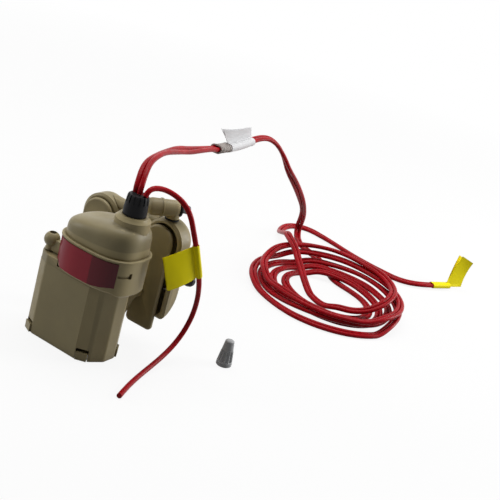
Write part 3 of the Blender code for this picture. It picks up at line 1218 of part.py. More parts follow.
def side_normals(path, start_along_x=0.0):
    """Level unit vectors square to the path, without a flip; near the gland they follow X."""
    ahead = np.gradient(path, axis=0)
    ahead /= np.linalg.norm(ahead, axis=1, keepdims=True)
    across = np.column_stack([ahead[:, 1], -ahead[:, 0], np.zeros(len(path))])
    level = np.linalg.norm(across, axis=1)
    for i in range(len(path)):
        if level[i] > 0.3:
            across[i] /= level[i]
        elif i:
            across[i] = across[i - 1]
        else:
            across[i] = (1.0, 0.0, 0.0)
        if i and across[i] @ across[i - 1] < 0:
            across[i] = -across[i]
    if start_along_x > 0:
        steps = np.concatenate([[0.0], np.cumsum(np.linalg.norm(np.diff(path, axis=0), axis=1))])
        share = np.clip(steps / start_along_x, 0.0, 1.0)[:, None]
        share = share * share * (3 - 2 * share)
        across = across * share + np.array([[1.0, 0.0, 0.0]]) * (1 - share)
        across /= np.linalg.norm(across, axis=1, keepdims=True)
    return across


def cord_object(name, path, colour, resolution):
    """A wire as a bevelled poly curve with filled ends."""
    curve = bpy.data.curves.new(name, "CURVE")
    curve.dimensions = "3D"
    curve.bevel_depth = WIRE_D / 2
    curve.bevel_resolution = resolution
    curve.use_fill_caps = True
    spline = curve.splines.new("POLY")
    spline.points.add(len(path) - 1)
    for point, place in zip(spline.points, path):
        point.co = (*place, 1.0)
    curve.materials.append(material(name, colour, 0.35))
    made = bpy.data.objects.new(name, curve)
    bpy.context.scene.collection.objects.link(made)
    return made


def least_gap(path, others=None):
    """Least surface gap of a wire to itself, or to another wire, measured on points."""
    fine = resample(path, WIRE_D * 0.5)
    other = fine if others is None else resample(others, WIRE_D * 0.5)
    best = 1.0
    skip = int(5 * WIRE_D / (WIRE_D * 0.5))
    for i, point in enumerate(fine):
        distance = np.linalg.norm(other - point, axis=1)
        if others is None:
            distance[max(0, i - skip):i + skip + 1] = 1.0
        best = min(best, float(distance.min()))
    return best - WIRE_D


def lead_wires():
    run, laid = pair_route()
    whole = np.vstack([run[:-1], laid])
    whole_side = side_normals(whole, 0.060)
    split = len(run) - 3
    wires = {}
    for name, side in (("lead_wire_1", -1.0), ("lead_wire_2", 1.0)):
        path = whole + whole_side * PAIR_HALF * side
        middle = (path[split] + path[split + 1]) / 2
        ahead = (path[split + 1] - path[split]) / np.linalg.norm(path[split + 1] - path[split])
        run_path = np.vstack([path[:split + 1], middle - ahead * GAP / 2])
        coil_path = np.vstack([middle + ahead * GAP / 2, path[split + 1:]])
        cord_object(name + "_run", run_path, RED, 2)
        cord_object(name + "_coil", coil_path, RED, 1)
        wires[name] = coil_path
        print(name, "length %.3f m" % (path_length(run_path) + path_length(coil_path)))
        print(name, "least gap to itself %.2f mm" % (least_gap(coil_path) * 1000))
    print("coil height %.1f mm" % (1000 * laid[:, 2].max()))
    print("pair, least gap between its wires %.2f mm" % (least_gap(wires["lead_wire_1"],
                                                                   wires["lead_wire_2"]) * 1000))
    route = from_gland(SINGLE_EXIT, SINGLE_ROUTE)
    single = np.vstack([route[0], smooth_path(route[1:], 2.7 * WIRE_D, None, route[0])])
    single[:, 2] = np.maximum(single[:, 2], WIRE_D / 2 + FLOOR_GAP)
    cord_object("lead_wire_3", single, RED, 2)
    print("lead_wire_3 length %.3f m" % path_length(single))
    return run, laid, single


def stretch(path, start, end):
    """The part of a path between two distances along it, as a list of points."""
    fine = resample(path, 0.0005)
    steps = np.concatenate([[0.0], np.cumsum(np.linalg.norm(np.diff(fine, axis=0), axis=1))])
    inside = (steps >= start) & (steps <= end)
    return fine[inside]


def band_rings(path, sides, half_pair, radius, count):
    """Cross-sections of a band wrapped round one wire, or round a pair, along a path."""
    picks = np.linspace(0, len(path) - 1, count).astype(int)
    ahead = np.gradient(path, axis=0)
    rings = []
    for i in picks:
        forward = Vector(ahead[i]).normalized()
        across = Vector(sides[i])
        across = (across - forward * across.dot(forward)).normalized()
        up = across.cross(forward)
        ring = []
        for k in range(12):
            angle = 2 * math.pi * (k + 0.5) / 12
            shift = across * math.copysign(half_pair, math.cos(angle)) if half_pair else Vector((0, 0, 0))
            ring.append(Vector(path[i]) + shift + (across * math.cos(angle) + up * math.sin(angle)) * radius)
        rings.append(ring)
    return rings


def wire_sleeve(run):
    path = stretch(run, SLEEVE_FROM, SLEEVE_TO)
    sides = side_normals(path)
    inner = band_rings(path, sides, PAIR_HALF, WIRE_D / 2 + GAP, 4)
    outer = band_rings(path, sides, PAIR_HALF, WIRE_D / 2 + GAP + SLEEVE_WALL, 4)
    add_object("wire_sleeve", loft(bmesh.new(), outer + inner[::-1], closed=True), GREY, 0.5)


def tag_object(name, path, sides, half_pair, flag, colour, rounds=3):
    """A folded tag: a band round the wires with a flat flag reaching from it."""
    inner = band_rings(path, sides, half_pair, WIRE_D / 2 + GAP, rounds)
    outer = band_rings(path, sides, half_pair, WIRE_D / 2 + GAP + TAG_SHEET, rounds)
    made = add_object(name, loft(bmesh.new(), outer + inner[::-1], closed=True), colour, 0.6)
    boolean(made, cutter(name + "_flag", flag), "UNION")
    return made


def flag_mesh(path, reach, start_offset, thickness, rounds=3):
    """A flat sheet that starts at the band and reaches along the given vectors."""
    picks = np.linspace(0, len(path) - 1, rounds).astype(int)
    ahead = np.gradient(path, axis=0)
    rings = []
    for number, i in enumerate(picks):
        forward = Vector(ahead[i]).normalized()
        out = Vector(reach)
        flat = out - forward * out.dot(forward)
        normal = flat.cross(forward).normalized() * thickness / 2
        near = Vector(path[i]) + flat.normalized() * start_offset
        far = Vector(path[i]) + out
        trim = forward * (0.0001 if number == 0 else (-0.0001 if number == rounds - 1 else 0.0))
        rings.append([near - normal + trim, near + normal + trim, far + normal + trim, far - normal + trim])
    return loft(bmesh.new(), rings)


def wire_tags(run, laid, single):
    path = stretch(run, WHITE_TAG_FROM, WHITE_TAG_TO)
    back = Vector(path[0] - path[-1]).normalized() * WHITE_TAG_LEAN
    flag = flag_mesh(path, back + Vector((0.0, 0.0, WHITE_TAG_REACH)), WIRE_D / 2 + GAP + TAG_SHEET / 2,
                     TAG_SHEET)
    tag_object("white_tag", path, side_normals(path), PAIR_HALF, flag, WHITE)

    path = stretch(single, NEAR_TAG_FROM, NEAR_TAG_TO)
    sides = side_normals(path)
    reach = Vector(NEAR_TAG_SIDE).normalized() * NEAR_TAG_REACH
    flag = flag_mesh(path, reach, WIRE_D / 2 + GAP + TAG_SHEET / 2, TAG_SHEET)
    tag_object("yellow_tag_near", path, sides, 0.0, flag, YELLOW)

    total = path_length(laid)
    path = stretch(laid, total - FAR_TAG_LENGTH * 0.55, total)
    ahead = path[-1] - path[0]
    ahead /= np.linalg.norm(ahead)
    tail = [path[-1] + ahead * d for d in np.arange(0.0005, FAR_TAG_LENGTH * 0.45, 0.0005)]
    path = np.vstack([path, tail])
    reach = (0.0, FAR_TAG_BACK, FAR_TAG_RISE)
    flag = flag_mesh(path, reach, WIRE_D / 2 + GAP + TAG_SHEET / 2, TAG_SHEET)
    tag_object("yellow_tag_far", path, side_normals(path), PAIR_HALF, flag, YELLOW)


def wire_connector():
    place = Matrix.Translation((NUT_X, NUT_Y, 0.0))
    outer = [(NUT_BASE_R - 0.0003, 0.0), (NUT_BASE_R, 0.0004), (NUT_BASE_R, 0.0034),
             (NUT_BASE_R - 0.0006, 0.0042),
             (NUT_BASE_R - 0.0009, NUT_HEIGHT * 0.55), (NUT_TOP_R + 0.0007, NUT_HEIGHT * 0.6),
             (NUT_TOP_R, NUT_HEIGHT - 0.0004), (NUT_TOP_R - 0.0004, NUT_HEIGHT), (0.0, NUT_HEIGHT)]
    inner_top = NUT_HEIGHT - NUT_WALL * 1.5
    inner = [(0.0, inner_top), (NUT_TOP_R - NUT_WALL * 0.7, inner_top),
             (NUT_BASE_R - NUT_WALL - 0.0006, 0.0050),
             (NUT_BASE_R - NUT_WALL, 0.0)]
    bm = bmesh.new()
    rows = []
    for radius, height in outer + inner:
        if radius == 0.0:
            rows.append([bm.verts.new((0, 0, height))])
        else:
            rows.append([bm.verts.new((radius * math.cos(a), radius * math.sin(a), height))
                         for a in (2 * math.pi * i / NUT_SIDES for i in range(NUT_SIDES))])
    for low, high in zip(rows, rows[1:] + rows[:1]):
        if len(low) == 1 and len(high) == 1:
            continue
        for i in range(NUT_SIDES):
            j = (i + 1) % NUT_SIDES
            corners = (low[i % len(low)], low[j % len(low)], high[j % len(high)], high[i % len(high)])
            bm.faces.new(list(dict.fromkeys(corners)))
    bmesh.ops.transform(bm, matrix=place, verts=bm.verts)
    add_object("wire_connector", bm, GREY, 0.5)


def build():
    clear_scene()
    pump_casing()
    strainer_base()
    volute_housing()
    motor_bulkhead()
    bearings()
    motor_stator()
    rotor()
    electrics()
    domed_cap()
    cap_screws()
    cap_gasket()
    rating_label()
    cable_gland()
    crossover_duct()
    rear_unit()
    float_and_flap()
    outlet_elbow()
    vent_plug()
    run, laid, single = lead_wires()
    wire_sleeve(run)
    wire_tags(run, laid, single)
    wire_connector()


build()
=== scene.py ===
"""The dressed look of the small submersible pump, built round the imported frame."""
import json
import math

import bpy
import bmesh
import numpy as np
from mathutils import Matrix, Vector

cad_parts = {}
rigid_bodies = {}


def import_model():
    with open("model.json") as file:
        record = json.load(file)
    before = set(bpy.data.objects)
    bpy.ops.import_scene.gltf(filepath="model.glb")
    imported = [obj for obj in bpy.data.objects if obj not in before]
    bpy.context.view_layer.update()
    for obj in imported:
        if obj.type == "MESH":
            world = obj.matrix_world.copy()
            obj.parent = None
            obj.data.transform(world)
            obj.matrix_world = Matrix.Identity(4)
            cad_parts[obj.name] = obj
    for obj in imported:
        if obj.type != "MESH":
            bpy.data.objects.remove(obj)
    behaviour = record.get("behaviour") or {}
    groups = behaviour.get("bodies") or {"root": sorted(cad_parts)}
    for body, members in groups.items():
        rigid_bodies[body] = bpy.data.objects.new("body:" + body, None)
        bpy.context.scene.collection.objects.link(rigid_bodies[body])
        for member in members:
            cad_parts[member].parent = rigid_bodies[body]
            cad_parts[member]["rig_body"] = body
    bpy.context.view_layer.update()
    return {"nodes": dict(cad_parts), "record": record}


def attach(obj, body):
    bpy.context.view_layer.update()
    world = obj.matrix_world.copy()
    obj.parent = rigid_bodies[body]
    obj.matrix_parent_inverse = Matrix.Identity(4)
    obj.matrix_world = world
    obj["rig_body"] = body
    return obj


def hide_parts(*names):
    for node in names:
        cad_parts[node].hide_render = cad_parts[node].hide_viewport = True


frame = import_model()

# ---------------------------------------------------------------- general clearances and walls
GAP = 0.0003                 # between pieces that touch
WALL = 0.0018                # moulded walls
OFF_STEP = 0.07              # turns a boss, so that its facets don't line up with its bore's

# ---------------------------------------------------------------- motor can
CAN_HALF_WIDTH = 0.0261
CAN_HALF_DEPTH = 0.0150
CAN_FACE_HALF = CAN_HALF_WIDTH - 0.0111      # half the broad front face
CAN_SHOULDER_HALF = CAN_HALF_WIDTH - 0.0046  # where the two corner facets meet
CAN_SHOULDER_DEPTH = CAN_HALF_DEPTH - 0.0034
CAN_SIDE_HALF = 0.0040       # half the flat side
CAN_DRAFT = 0.0003           # how far the sides lean in towards the deck
# radii of the can's upright edges, from the right side over the rear and left to the front
CORNER_ROUNDS = (0.0030, 0.0050, 0.0019, 0.0019, 0.0050, 0.0030,
                 0.0030, 0.0050, 0.0040, 0.0008, 0.0060, 0.0030)
BAND_DEPTH = 0.00022         # the can steps in under its deck
BAND_HEIGHT = 0.0048
CAN_HEIGHT = 0.0452          # deck beside the cap
CAN_LEDGE = CAN_HEIGHT - 0.0034           # recess that the cap's skirt drops into
NECK_TOP = CAN_HEIGHT + 0.0068

# ---------------------------------------------------------------- cap
CAP_X = 0.0097
CAP_Y = -0.0012
CAP_HALF_WIDTH = CAN_HALF_WIDTH - 0.0038
CAP_HALF_DEPTH = CAN_HALF_DEPTH + 0.0015
CAP_POWER = 2.8              # superellipse exponent of the plan
SKIRT_BOTTOM = CAN_HEIGHT - 0.0031
SKIRT_TOP = CAN_HEIGHT + 0.0148
BEAD = 0.0007                # round the top of the skirt
BEAD_HEIGHT = 0.0013
DOME_INSET = 0.0010
DOME_LOW = 0.0092            # height over the skirt at the left end
DOME_HIGH = 0.0168           # and at the right end
SQUARENESS_LEFT = 0.42       # below 1 the shoulders fill out
SQUARENESS_RIGHT = 0.44
SKIRT_DROP = 0.0016          # the skirt reaches lower where it overhangs the can
COLLAR_X = 0.0206
COLLAR_R = 0.0091
FOOT_FILLET = 0.0016         # where the collar meets the dome
COLLAR_TOP = SKIRT_TOP + 0.0185
SEAT_R = 0.0074
SEAT_TOP = COLLAR_TOP + 0.0011
GLAND_BORE_R = 0.0042
LUG_X = -0.0186
LUG_Y = CAN_HALF_DEPTH - 0.0062
LUG_R = 0.0041
LUG_HEIGHT = 0.0098
WEB_HALF = 0.0016            # half the web that ties a lug to the dome
SCREW_R = 0.0010
SCREW_HEAD_R = 0.0016
SCREW_LENGTH = 0.0090
SCREW_SEAT = 0.62            # height of the screw heads' seats, as a share of the lugs'
LATCH_FROM = -38.0           # plan angles of the latch slit, degrees
LATCH_TO = -15.0
LATCH_Z = CAN_HEIGHT + 0.0065
LATCH_SLIT = 0.0013
LATCH_WINDOW = 0.0030

# ---------------------------------------------------------------- label
LABEL_FROM = -146.5          # plan angles of its ends, degrees
LABEL_TO = -40.5
LABEL_BOTTOM = CAN_HEIGHT + 0.0004
LABEL_TOP = SKIRT_TOP - 0.0017
LABEL_DIP = 0.0024           # it reaches lower in its middle
LABEL_THICK = 0.00025

# ---------------------------------------------------------------- gland
GLAND_BASE_R = 0.0060
GLAND_TOP_R = 0.0052
GLAND_HEIGHT = 0.0104
GLAND_STEM = 0.0050
GLAND_NOTCHES = 14
GLAND_OUT = SEAT_TOP + GAP + GLAND_HEIGHT + GAP      # where the wires come out

# ---------------------------------------------------------------- strainer and can openings
FOOT_R = 0.0040
STRAINER_BOTTOM = 0.0026
STRAINER_TOP = 0.0042
SLOT_WIDTH = 0.0013
SLOT_PITCH = 0.0030
SLOT_ROWS = 5
TAB_WIDTH = 0.0060
TAB_BOTTOM = 0.0004
TAB_TOP = 0.0048
TAB_PROUD = 0.0009
WINDOW_TOP = 0.0064
INTAKE_HALF = 0.0110         # notch in the rear rim that lets water under the pump
INTAKE_HEIGHT = 0.0022
PORT_X = 0.0088
PORT_Z = 0.0092
PORT_R = 0.0020

# ---------------------------------------------------------------- rear float and outlet unit
CHAMBER_X = 0.0203           # half the spacing of the two chambers
FLOAT_SHIFT = -0.0018        # the float chamber stands a little further out
FLOAT_DROP = 0.0030          # and lower than the riser chamber
COVER_FRONT = CAN_HALF_DEPTH + 0.0130
COVER_THICK = 0.0023
COVER_ROUND = 0.0012
COVER_HALF = 0.0098
RISER_COVER_HALF = 0.0086
RISER_COVER_X = CHAMBER_X - 0.0012
COVER_BOTTOM = 0.0100
COVER_CORNER = 0.0026
CHAMBER_CORNER = 0.0030
ARCH_Z = 0.0596              # centre height of the arched tops
CHAMBER_R = 0.0121
CHAMBER_BACK = COVER_FRONT + 0.0150
CHAMBER_LOW = 0.0178         # lower edge at the cover
CHAMBER_HIGH = 0.0500        # where the curved bottom meets the back
BACK_ROUND = 0.0050
FRONT_ROUND = 0.0013
BRACE_HALF = 0.0145
BRACE_BOTTOM = 0.0330
BRACE_TOP = 0.0415
BRACE_FLANGE = 0.0020
BRACE_WEB = 0.0030
DUCT_R = 0.0031
DUCT_BORE_R = 0.0020
DUCT_BEND = 0.0038
INLET_X = 0.0150             # behind the can, where the front hides the duct
INLET_Z = 0.0290
LINK_Z = ARCH_Z + 0.0079
LINK_Y = COVER_FRONT + 0.0085
LINK_R = 0.0032
LINK_FLARE_R = 0.0044
LINK_BORE_R = 0.0020

LEVEL_SLOT_HALF = 0.0009

# ---------------------------------------------------------------- outlet elbow and vent plug
PIVOT_X = 0.0211
PIVOT_Y = COVER_FRONT + 0.0053
STUB_R = 0.0024
STUB_BOSS_R = 0.0036
SPIGOT_R = 0.0015            # the part of the stub that turns in the chamber roof
STUB_BORE_R = 0.0009
BARREL_R = 0.0046
BARREL_Z = ARCH_Z + CHAMBER_R + 0.0064
BARREL_YAW = 56.0            # degrees from +X towards +Y
BARREL_FRONT = 0.0155        # length in front of the pivot
BARREL_BACK = 0.0021         # and behind it
BARREL_SEAM = 0.0072         # seam bead, in front of the pivot
BARREL_BORE_R = 0.0021
RING_R = 0.0041
RING_THICK = 0.0012
BARB_R = 0.0022
BARB_BORE_R = 0.0011
BARB_LENGTH = 0.0050
SEAL_WIDTH = 0.0011
SEAL_HEIGHT = 0.0005

PLUG_Y = COVER_FRONT + 0.0080
PLUG_Z = 0.0440
PLUG_HEAD_R = 0.0033
PLUG_NECK = 0.0022
PLUG_HEAD = 0.0095
PLUG_STEM_R = 0.0015

# ---------------------------------------------------------------- lead wires
WIRE_D = 0.0028
PAIR_HALF = 0.00165          # half the spacing that the two wires of the pair are laid down with
WIRE_SIDE = 0.00139          # half their spacing as they lie against each other
WIRE_FLOOR = WIRE_D / 2 + 0.0001     # height of a wire's centre over the floor
FINE = 0.0019                # spacing of a wire's points
FLOOR_ROLL = 12.0            # how far the pair rolls either way on the floor, degrees
AIR_ROLL = 30.0              # and how much further through the air
ROLL_LENGTH = 0.115          # metres from one roll to the next
SINGLE_HELD = 0.066          # metres of the third wire that keep the line of their route
SINGLE_EASED = 45            # passes that round off the rest
PAIR_EXIT = (0.0192, 0.0004)         # where the pair and the third wire leave the gland
SINGLE_EXIT = (0.0243, 0.0000)
PAIR_ROUTE = (               # centre of the pair, from the gland to the coil
    (0.0185, 0.0018, 0.0964), (0.0160, 0.0060, 0.0992), (0.0118, 0.0140, 0.1016), (0.0091, 0.0220, 0.1025),
    (0.0053, 0.0330, 0.1021), (0.0018, 0.0450, 0.1008), (-0.0027, 0.0620, 0.0984),
    (-0.0060, 0.0770, 0.0956), (-0.0112, 0.1050, 0.0918), (-0.0126, 0.1180, 0.0902),
    (-0.0148, 0.1400, 0.0892), (-0.0161, 0.1600, 0.0902), (-0.0163, 0.1740, 0.0908),
    (-0.0150, 0.1830, 0.0896), (-0.0132, 0.1920, 0.0850), (-0.0110, 0.2010, 0.0770),
    (-0.0102, 0.2110, 0.0670), (-0.0108, 0.2300, 0.0532), (-0.0122, 0.2440, 0.0431),
    (-0.0143, 0.2580, 0.0324), (-0.0172, 0.2690, 0.0226), (-0.0205, 0.2765, 0.0138),
    (-0.0225, 0.2795, 0.0070),
    (-0.0215, 0.2790, 0.0028), (-0.0165, 0.2715, 0.0015), (-0.0085, 0.2630, 0.0015),
    (0.0010, 0.2575, 0.0015), (0.0110, 0.2525, 0.0015), (0.0210, 0.2450, 0.0015), (0.0310, 0.2360, 0.0015),
    (0.0410, 0.2275, 0.0015),
)
SINGLE_ROUTE = (             # the third wire, from the gland over the side to the floor in front
    (0.0250, 0.0040, 0.0948),
    (0.0264, 0.0086, 0.0946), (0.0286, 0.0128, 0.0934), (0.0315, 0.0162, 0.0914),
    (0.0346, 0.0188, 0.0890), (0.0371, 0.0200, 0.0864), (0.0390, 0.0210, 0.0834),
    (0.0404, 0.0220, 0.0800), (0.0424, 0.0228, 0.0748), (0.0442, 0.0240, 0.0700),
    (0.0460, 0.0262, 0.0620), (0.0471, 0.0304, 0.0520), (0.0469, 0.0352, 0.0420),
    (0.0461, 0.0383, 0.0340), (0.0449, 0.0401, 0.0270), (0.0437, 0.0402, 0.0200),
    (0.0428, 0.0381, 0.0130), (0.0426, 0.0327, 0.0079), (0.0431, 0.0238, 0.0046),
    (0.0441, 0.0134, 0.0026), (0.0456, 0.0030, 0.0017), (0.0474, -0.0062, 0.0015),
    (0.0498, -0.0150, 0.0015), (0.0530, -0.0240, 0.0015),
)
COIL_TURNS = 5.29
COIL_POINTS = 24             # per loop
COIL_START = 70.0            # plan angle at which the pair joins the coil, degrees
COIL_TILT = -20.0            # plan angle of the loops' long axes, degrees
COIL_SHAPE = (               # centre and half extents of each loop in turn, as the heap was wound
    (0.0505, 0.2000, 0.0260, 0.0200), (0.0504, 0.1995, 0.0332, 0.0270),
    (0.0500, 0.1985, 0.0404, 0.0340), (0.0494, 0.1975, 0.0474, 0.0408),
    (0.0488, 0.1960, 0.0544, 0.0476), (0.0450, 0.2020, 0.0520, 0.0430),
    (0.0460, 0.2130, 0.0400, 0.0330),
)
COIL_WANDER = 0.0010         # sideways looseness of the loops
COIL_SLOPE = 0.34            # steepest rise or fall of a strand
COIL_CLEAR = 0.0005          # gap between strands that lie on each other
SETTLE_PASSES = 7            # until the heap lies still
TAIL_ROUTE = (               # from the last loop round the back to the far tag
    (0.0720, 0.1850), (0.0610, 0.1810), (0.0480, 0.1845), (0.0350, 0.1935), (0.0215, 0.2050),
    (0.0090, 0.2165), (-0.0030, 0.2280), (-0.0140, 0.2410), (-0.0255, 0.2590), (-0.0335, 0.2755),
    (-0.0345, 0.2880), (-0.0305, 0.2960), (-0.0230, 0.3000), (-0.0130, 0.2995), (0.0030, 0.2950),
    (0.0190, 0.2900), (0.0330, 0.2870), (0.0470, 0.2850), (0.0580, 0.2835), (0.0680, 0.2845),
    (0.0765, 0.2895), (0.0830, 0.2985), (0.0905, 0.3120),
)

# ---------------------------------------------------------------- what is on the wires
SLEEVE_FROM = 0.1255         # metres along the pair from the gland
SLEEVE_TO = 0.1392
TAG_SHEET = 0.0005           # the far tag's band under the pair
TAG_LIFT = 0.0005            # how far it raises the pair's end
FILM_THICK = 0.00022
WHITE_TAG_FROM = 0.140
WHITE_TAG_TO = 0.170
WHITE_TAG_REACH = 0.0104     # height of its flag
WHITE_TAG_FALL = 0.0032      # and how much lower it is at its far end
WHITE_TAG_LEAN = 0.0135      # its flag leans back towards the gland
WHITE_TAG_SPREAD = 0.0110    # and less so at its far end
NEAR_TAG_FROM = 0.0484       # metres along the single wire
NEAR_TAG_TO = 0.0674
NEAR_TAG_REACH = 0.0176
NEAR_TAG_SIDE = (-0.37, -0.86, -0.35)
FAR_TAG_LENGTH = 0.0230
FAR_TAG_BACK = 0.0110
FAR_TAG_RISE = 0.0250
FAR_FLAG_AT = 0.46           # where its flag leaves its band, as a share of its length
FAR_FLAG_TURN = (-0.0030, -0.0040, -0.0050)          # how the flag's end stands apart from its root

# ---------------------------------------------------------------- loose wire connector
NUT_X = 0.0627
NUT_Y = 0.0541
NUT_BASE_R = 0.0043
NUT_TOP_R = 0.0024
NUT_HEIGHT = 0.0152
NUT_SKIRT = 0.0026           # height of its flared foot

# ---------------------------------------------------------------- how finely the pieces are drawn
SHARP_ANGLE = 40.0           # edges sharper than this stay sharp, degrees
BEVEL_ANGLE = 32.0           # and edges sharper than this are rounded
BEVEL_STEPS = 3
SEG = 144                    # sides of the cap and other large round outlines
ROUND = 48                   # sides of small round pieces
FINE_ROUND = 72              # sides of the round pieces that show most


# ================================================================ camera
CAMERA_AT = (0.2841, -0.3837, 0.2502)
CAMERA_AZIMUTH = 27.2
CAMERA_ELEVATION = 20.4
CAMERA_ROLL = 16.0
FOCAL_PIXELS = 1010.0
FRAME_PIXELS = 500.0
SENSOR_WIDTH = 36.0


def add_to_scene(name, data):
    made = bpy.data.objects.new(name, data)
    bpy.context.scene.collection.objects.link(made)
    return made


def make_camera():
    azimuth, elevation, roll = (math.radians(v) for v in (CAMERA_AZIMUTH, CAMERA_ELEVATION, CAMERA_ROLL))
    back = Vector((math.sin(azimuth) * math.cos(elevation), -math.cos(azimuth) * math.cos(elevation),
                   math.sin(elevation)))
    level = Vector((math.cos(azimuth), math.sin(azimuth), 0.0))
    upright = back.cross(level)
    right = level * math.cos(roll) + upright * math.sin(roll)
    up = upright * math.cos(roll) - level * math.sin(roll)
    camera = bpy.data.cameras.new("camera")
    camera.sensor_width = SENSOR_WIDTH
    camera.lens = SENSOR_WIDTH * FOCAL_PIXELS / FRAME_PIXELS
    camera.clip_start, camera.clip_end = 0.01, 10.0
    made = add_to_scene("camera", camera)
    made.matrix_world = Matrix.Translation(CAMERA_AT) @ Matrix((right, up, back)).transposed().to_4x4()
    bpy.context.scene.camera = made


make_camera()


# ================================================================ materials
WHITE = (1.0, 1.0, 1.0)
DUST = (0.6, 0.56, 0.48)


def feed(node, inputs):
    """Gives each named or numbered input a value, a colour or the socket that drives it."""
    for name, value in inputs.items():
        socket = node.inputs[name]
        if isinstance(value, bpy.types.NodeSocket):
            node.id_data.links.new(value, socket)
        elif isinstance(value, tuple) and socket.type == "RGBA":
            socket.default_value = (*value, 1.0)
        else:
            socket.default_value = value
    return node


def add_node(tree, kind, inputs=None, **settings):
    node = tree.nodes.new("ShaderNode" + kind)
    for name, value in settings.items():
        setattr(node, name, value)
    return feed(node, inputs or {})


def new_material(name):
    made = bpy.data.materials.new(name)
    made.use_nodes = True
    return made, made.node_tree, made.node_tree.nodes["Principled BSDF"]


def own_place(tree):
    return add_node(tree, "TexCoord").outputs["Object"]


def noise(tree, scale, detail=3.0, roughness=0.5, stretch=None):
    place = own_place(tree)
    if stretch is not None:
        place = add_node(tree, "Mapping", {"Scale": stretch, "Vector": place}).outputs["Vector"]
    values = {"Scale": scale, "Detail": detail, "Roughness": roughness, "Vector": place}
    return add_node(tree, "TexNoise", values).outputs["Fac"]


def ramp(tree, factor, *stops):
    """A colour ramp; each stop is a place and a grey value or a colour."""
    made = add_node(tree, "ValToRGB", {"Fac": factor})
    points = made.color_ramp.elements
    while len(points) < len(stops):
        points.new(0.5)
    for point, (place, value) in zip(points, stops):
        point.position = place
        point.color = (value, value, value, 1.0) if isinstance(value, float) else (*value, 1.0)
    return made.outputs["Color"]


def drift(tree, scale, low, high, detail=3.0):
    """A value or colour that wanders between two."""
    return ramp(tree, noise(tree, scale, detail), (0.3, low), (0.7, high))


def shade(colour, factor):
    return tuple(c * factor for c in colour)


def mix(tree, factor, first, second, mode="MIX"):
    """Blends two colours or colour sockets."""
    values = {"Factor": factor, "A": first, "B": second}
    return add_node(tree, "Mix", values, data_type="RGBA", blend_type=mode).outputs["Result"]


def bump(tree, height, strength, distance):
    values = {"Height": height, "Strength": strength, "Distance": distance}
    return add_node(tree, "Bump", values).outputs["Normal"]


def plastic(name, colour, rough, grain=0.10, edge_highlight=None, dusty=0.0, shine=0.3):
    """Moulded plastic: faint flow marks and a fine grain; an edge colour adds painted shade in corners and
    painted highlights on sharp edges.
    """
    made, tree, shader = new_material(name)
    body = ramp(tree, noise(tree, 55.0, 4.0), (0.35, shade(colour, 0.9)), (0.65, shade(colour, 1.1)))
    if edge_highlight is not None:
        geometry = add_node(tree, "NewGeometry")
        # sharp edges are painted in the lighter edge colour: a painted highlight
        edges = ramp(tree, geometry.outputs["Pointiness"], (0.50, 0.0), (0.56, 1.0))
        # hollows and corners are darkened from ambient occlusion: painted shade
        corners = add_node(tree, "AmbientOcclusion", {"Distance": 0.004}, samples=8).outputs["AO"]
        crevice_shade = ramp(tree, corners, (0.25, shade(colour, 0.45)), (0.85, WHITE))
        body = mix(tree, 0.75, mix(tree, edges, body, edge_highlight), crevice_shade, "MULTIPLY")
    if dusty:
        specks = ramp(tree, noise(tree, 600.0, 5.0, 0.7), (0.55, 0.0), (0.75, dusty))
        body = mix(tree, specks, body, DUST)
    feed(shader, {"Base Color": body, "Roughness": drift(tree, 120.0, rough - 0.05, rough + 0.07),
                  "Specular IOR Level": shine, "Normal": bump(tree, noise(tree, 2600.0, 2.0), grain, 0.0001)})
    return made


def metal(name, colour, rough, stretch=None):
    """Bare or plated metal with fine directional marks."""
    made, tree, shader = new_material(name)
    marks = noise(tree, 700.0, 4.0, 0.6, stretch)
    feed(shader, {"Metallic": 1.0, "Base Color": ramp(tree, marks, (0.3, shade(colour, 0.8)), (0.7, colour)),
                  "Roughness": ramp(tree, marks, (0.3, rough), (0.7, rough + 0.15)),
                  "Normal": bump(tree, marks, 0.15, 0.00005)})
    return made


def wire_skin():
    """Smooth extruded insulation with a waxy gloss and slight shade changes along it."""
    made, tree, shader = new_material("wire_insulation")
    tone = ramp(tree, noise(tree, 90.0), (0.35, (0.31, 0.0006, 0.0045)), (0.65, (0.40, 0.0015, 0.0080)))
    scuff = ramp(tree, noise(tree, 900.0, 4.0, 0.7), (0.62, 0.0), (0.8, 0.12))
    feed(shader, {"Base Color": mix(tree, scuff, tone, (0.42, 0.025, 0.035)),
                  "Roughness": drift(tree, 300.0, 0.26, 0.40), "Specular IOR Level": 0.10,
                  "Normal": bump(tree, noise(tree, 1500.0), 0.06, 0.0001)})
    return made


def film(name, colour, rough, crease=0.25):
    """Film or tape stock: even colour, soft creases."""
    made, tree, shader = new_material(name)
    feed(shader, {"Base Color": drift(tree, 140.0, shade(colour, 0.95), colour),
                  "Roughness": drift(tree, 200.0, rough - 0.05, rough + 0.08), "Specular IOR Level": 0.1,
                  "Normal": bump(tree, noise(tree, 160.0, 2.0), crease, 0.0006)})
    return made


def label_skin():
    """A bare two-tone label: a bright red panel and a darker one."""
    made, tree, shader = new_material("label_film")
    place = add_node(tree, "UVMap", uv_map="UVMap").outputs["UV"]
    along_label = add_node(tree, "SeparateXYZ", {"Vector": place}).outputs["X"]
    red = ramp(tree, along_label, (0.0, (0.20, 0.006, 0.022)), (0.10, (0.27, 0.010, 0.030)),
               (0.40, (0.36, 0.016, 0.032)), (0.56, (0.30, 0.012, 0.028)))
    dark = ramp(tree, along_label, (0.58, (0.135, 0.004, 0.012)), (1.0, (0.085, 0.003, 0.009)))
    panel = ramp(tree, along_label, (0.595, 0.0), (0.605, 1.0))
    feed(shader, {"Base Color": mix(tree, panel, red, dark), "Roughness": 0.32, "Specular IOR Level": 0.2,
                  "Normal": bump(tree, noise(tree, 220.0, 2.0), 0.10, 0.0002)})
    return made


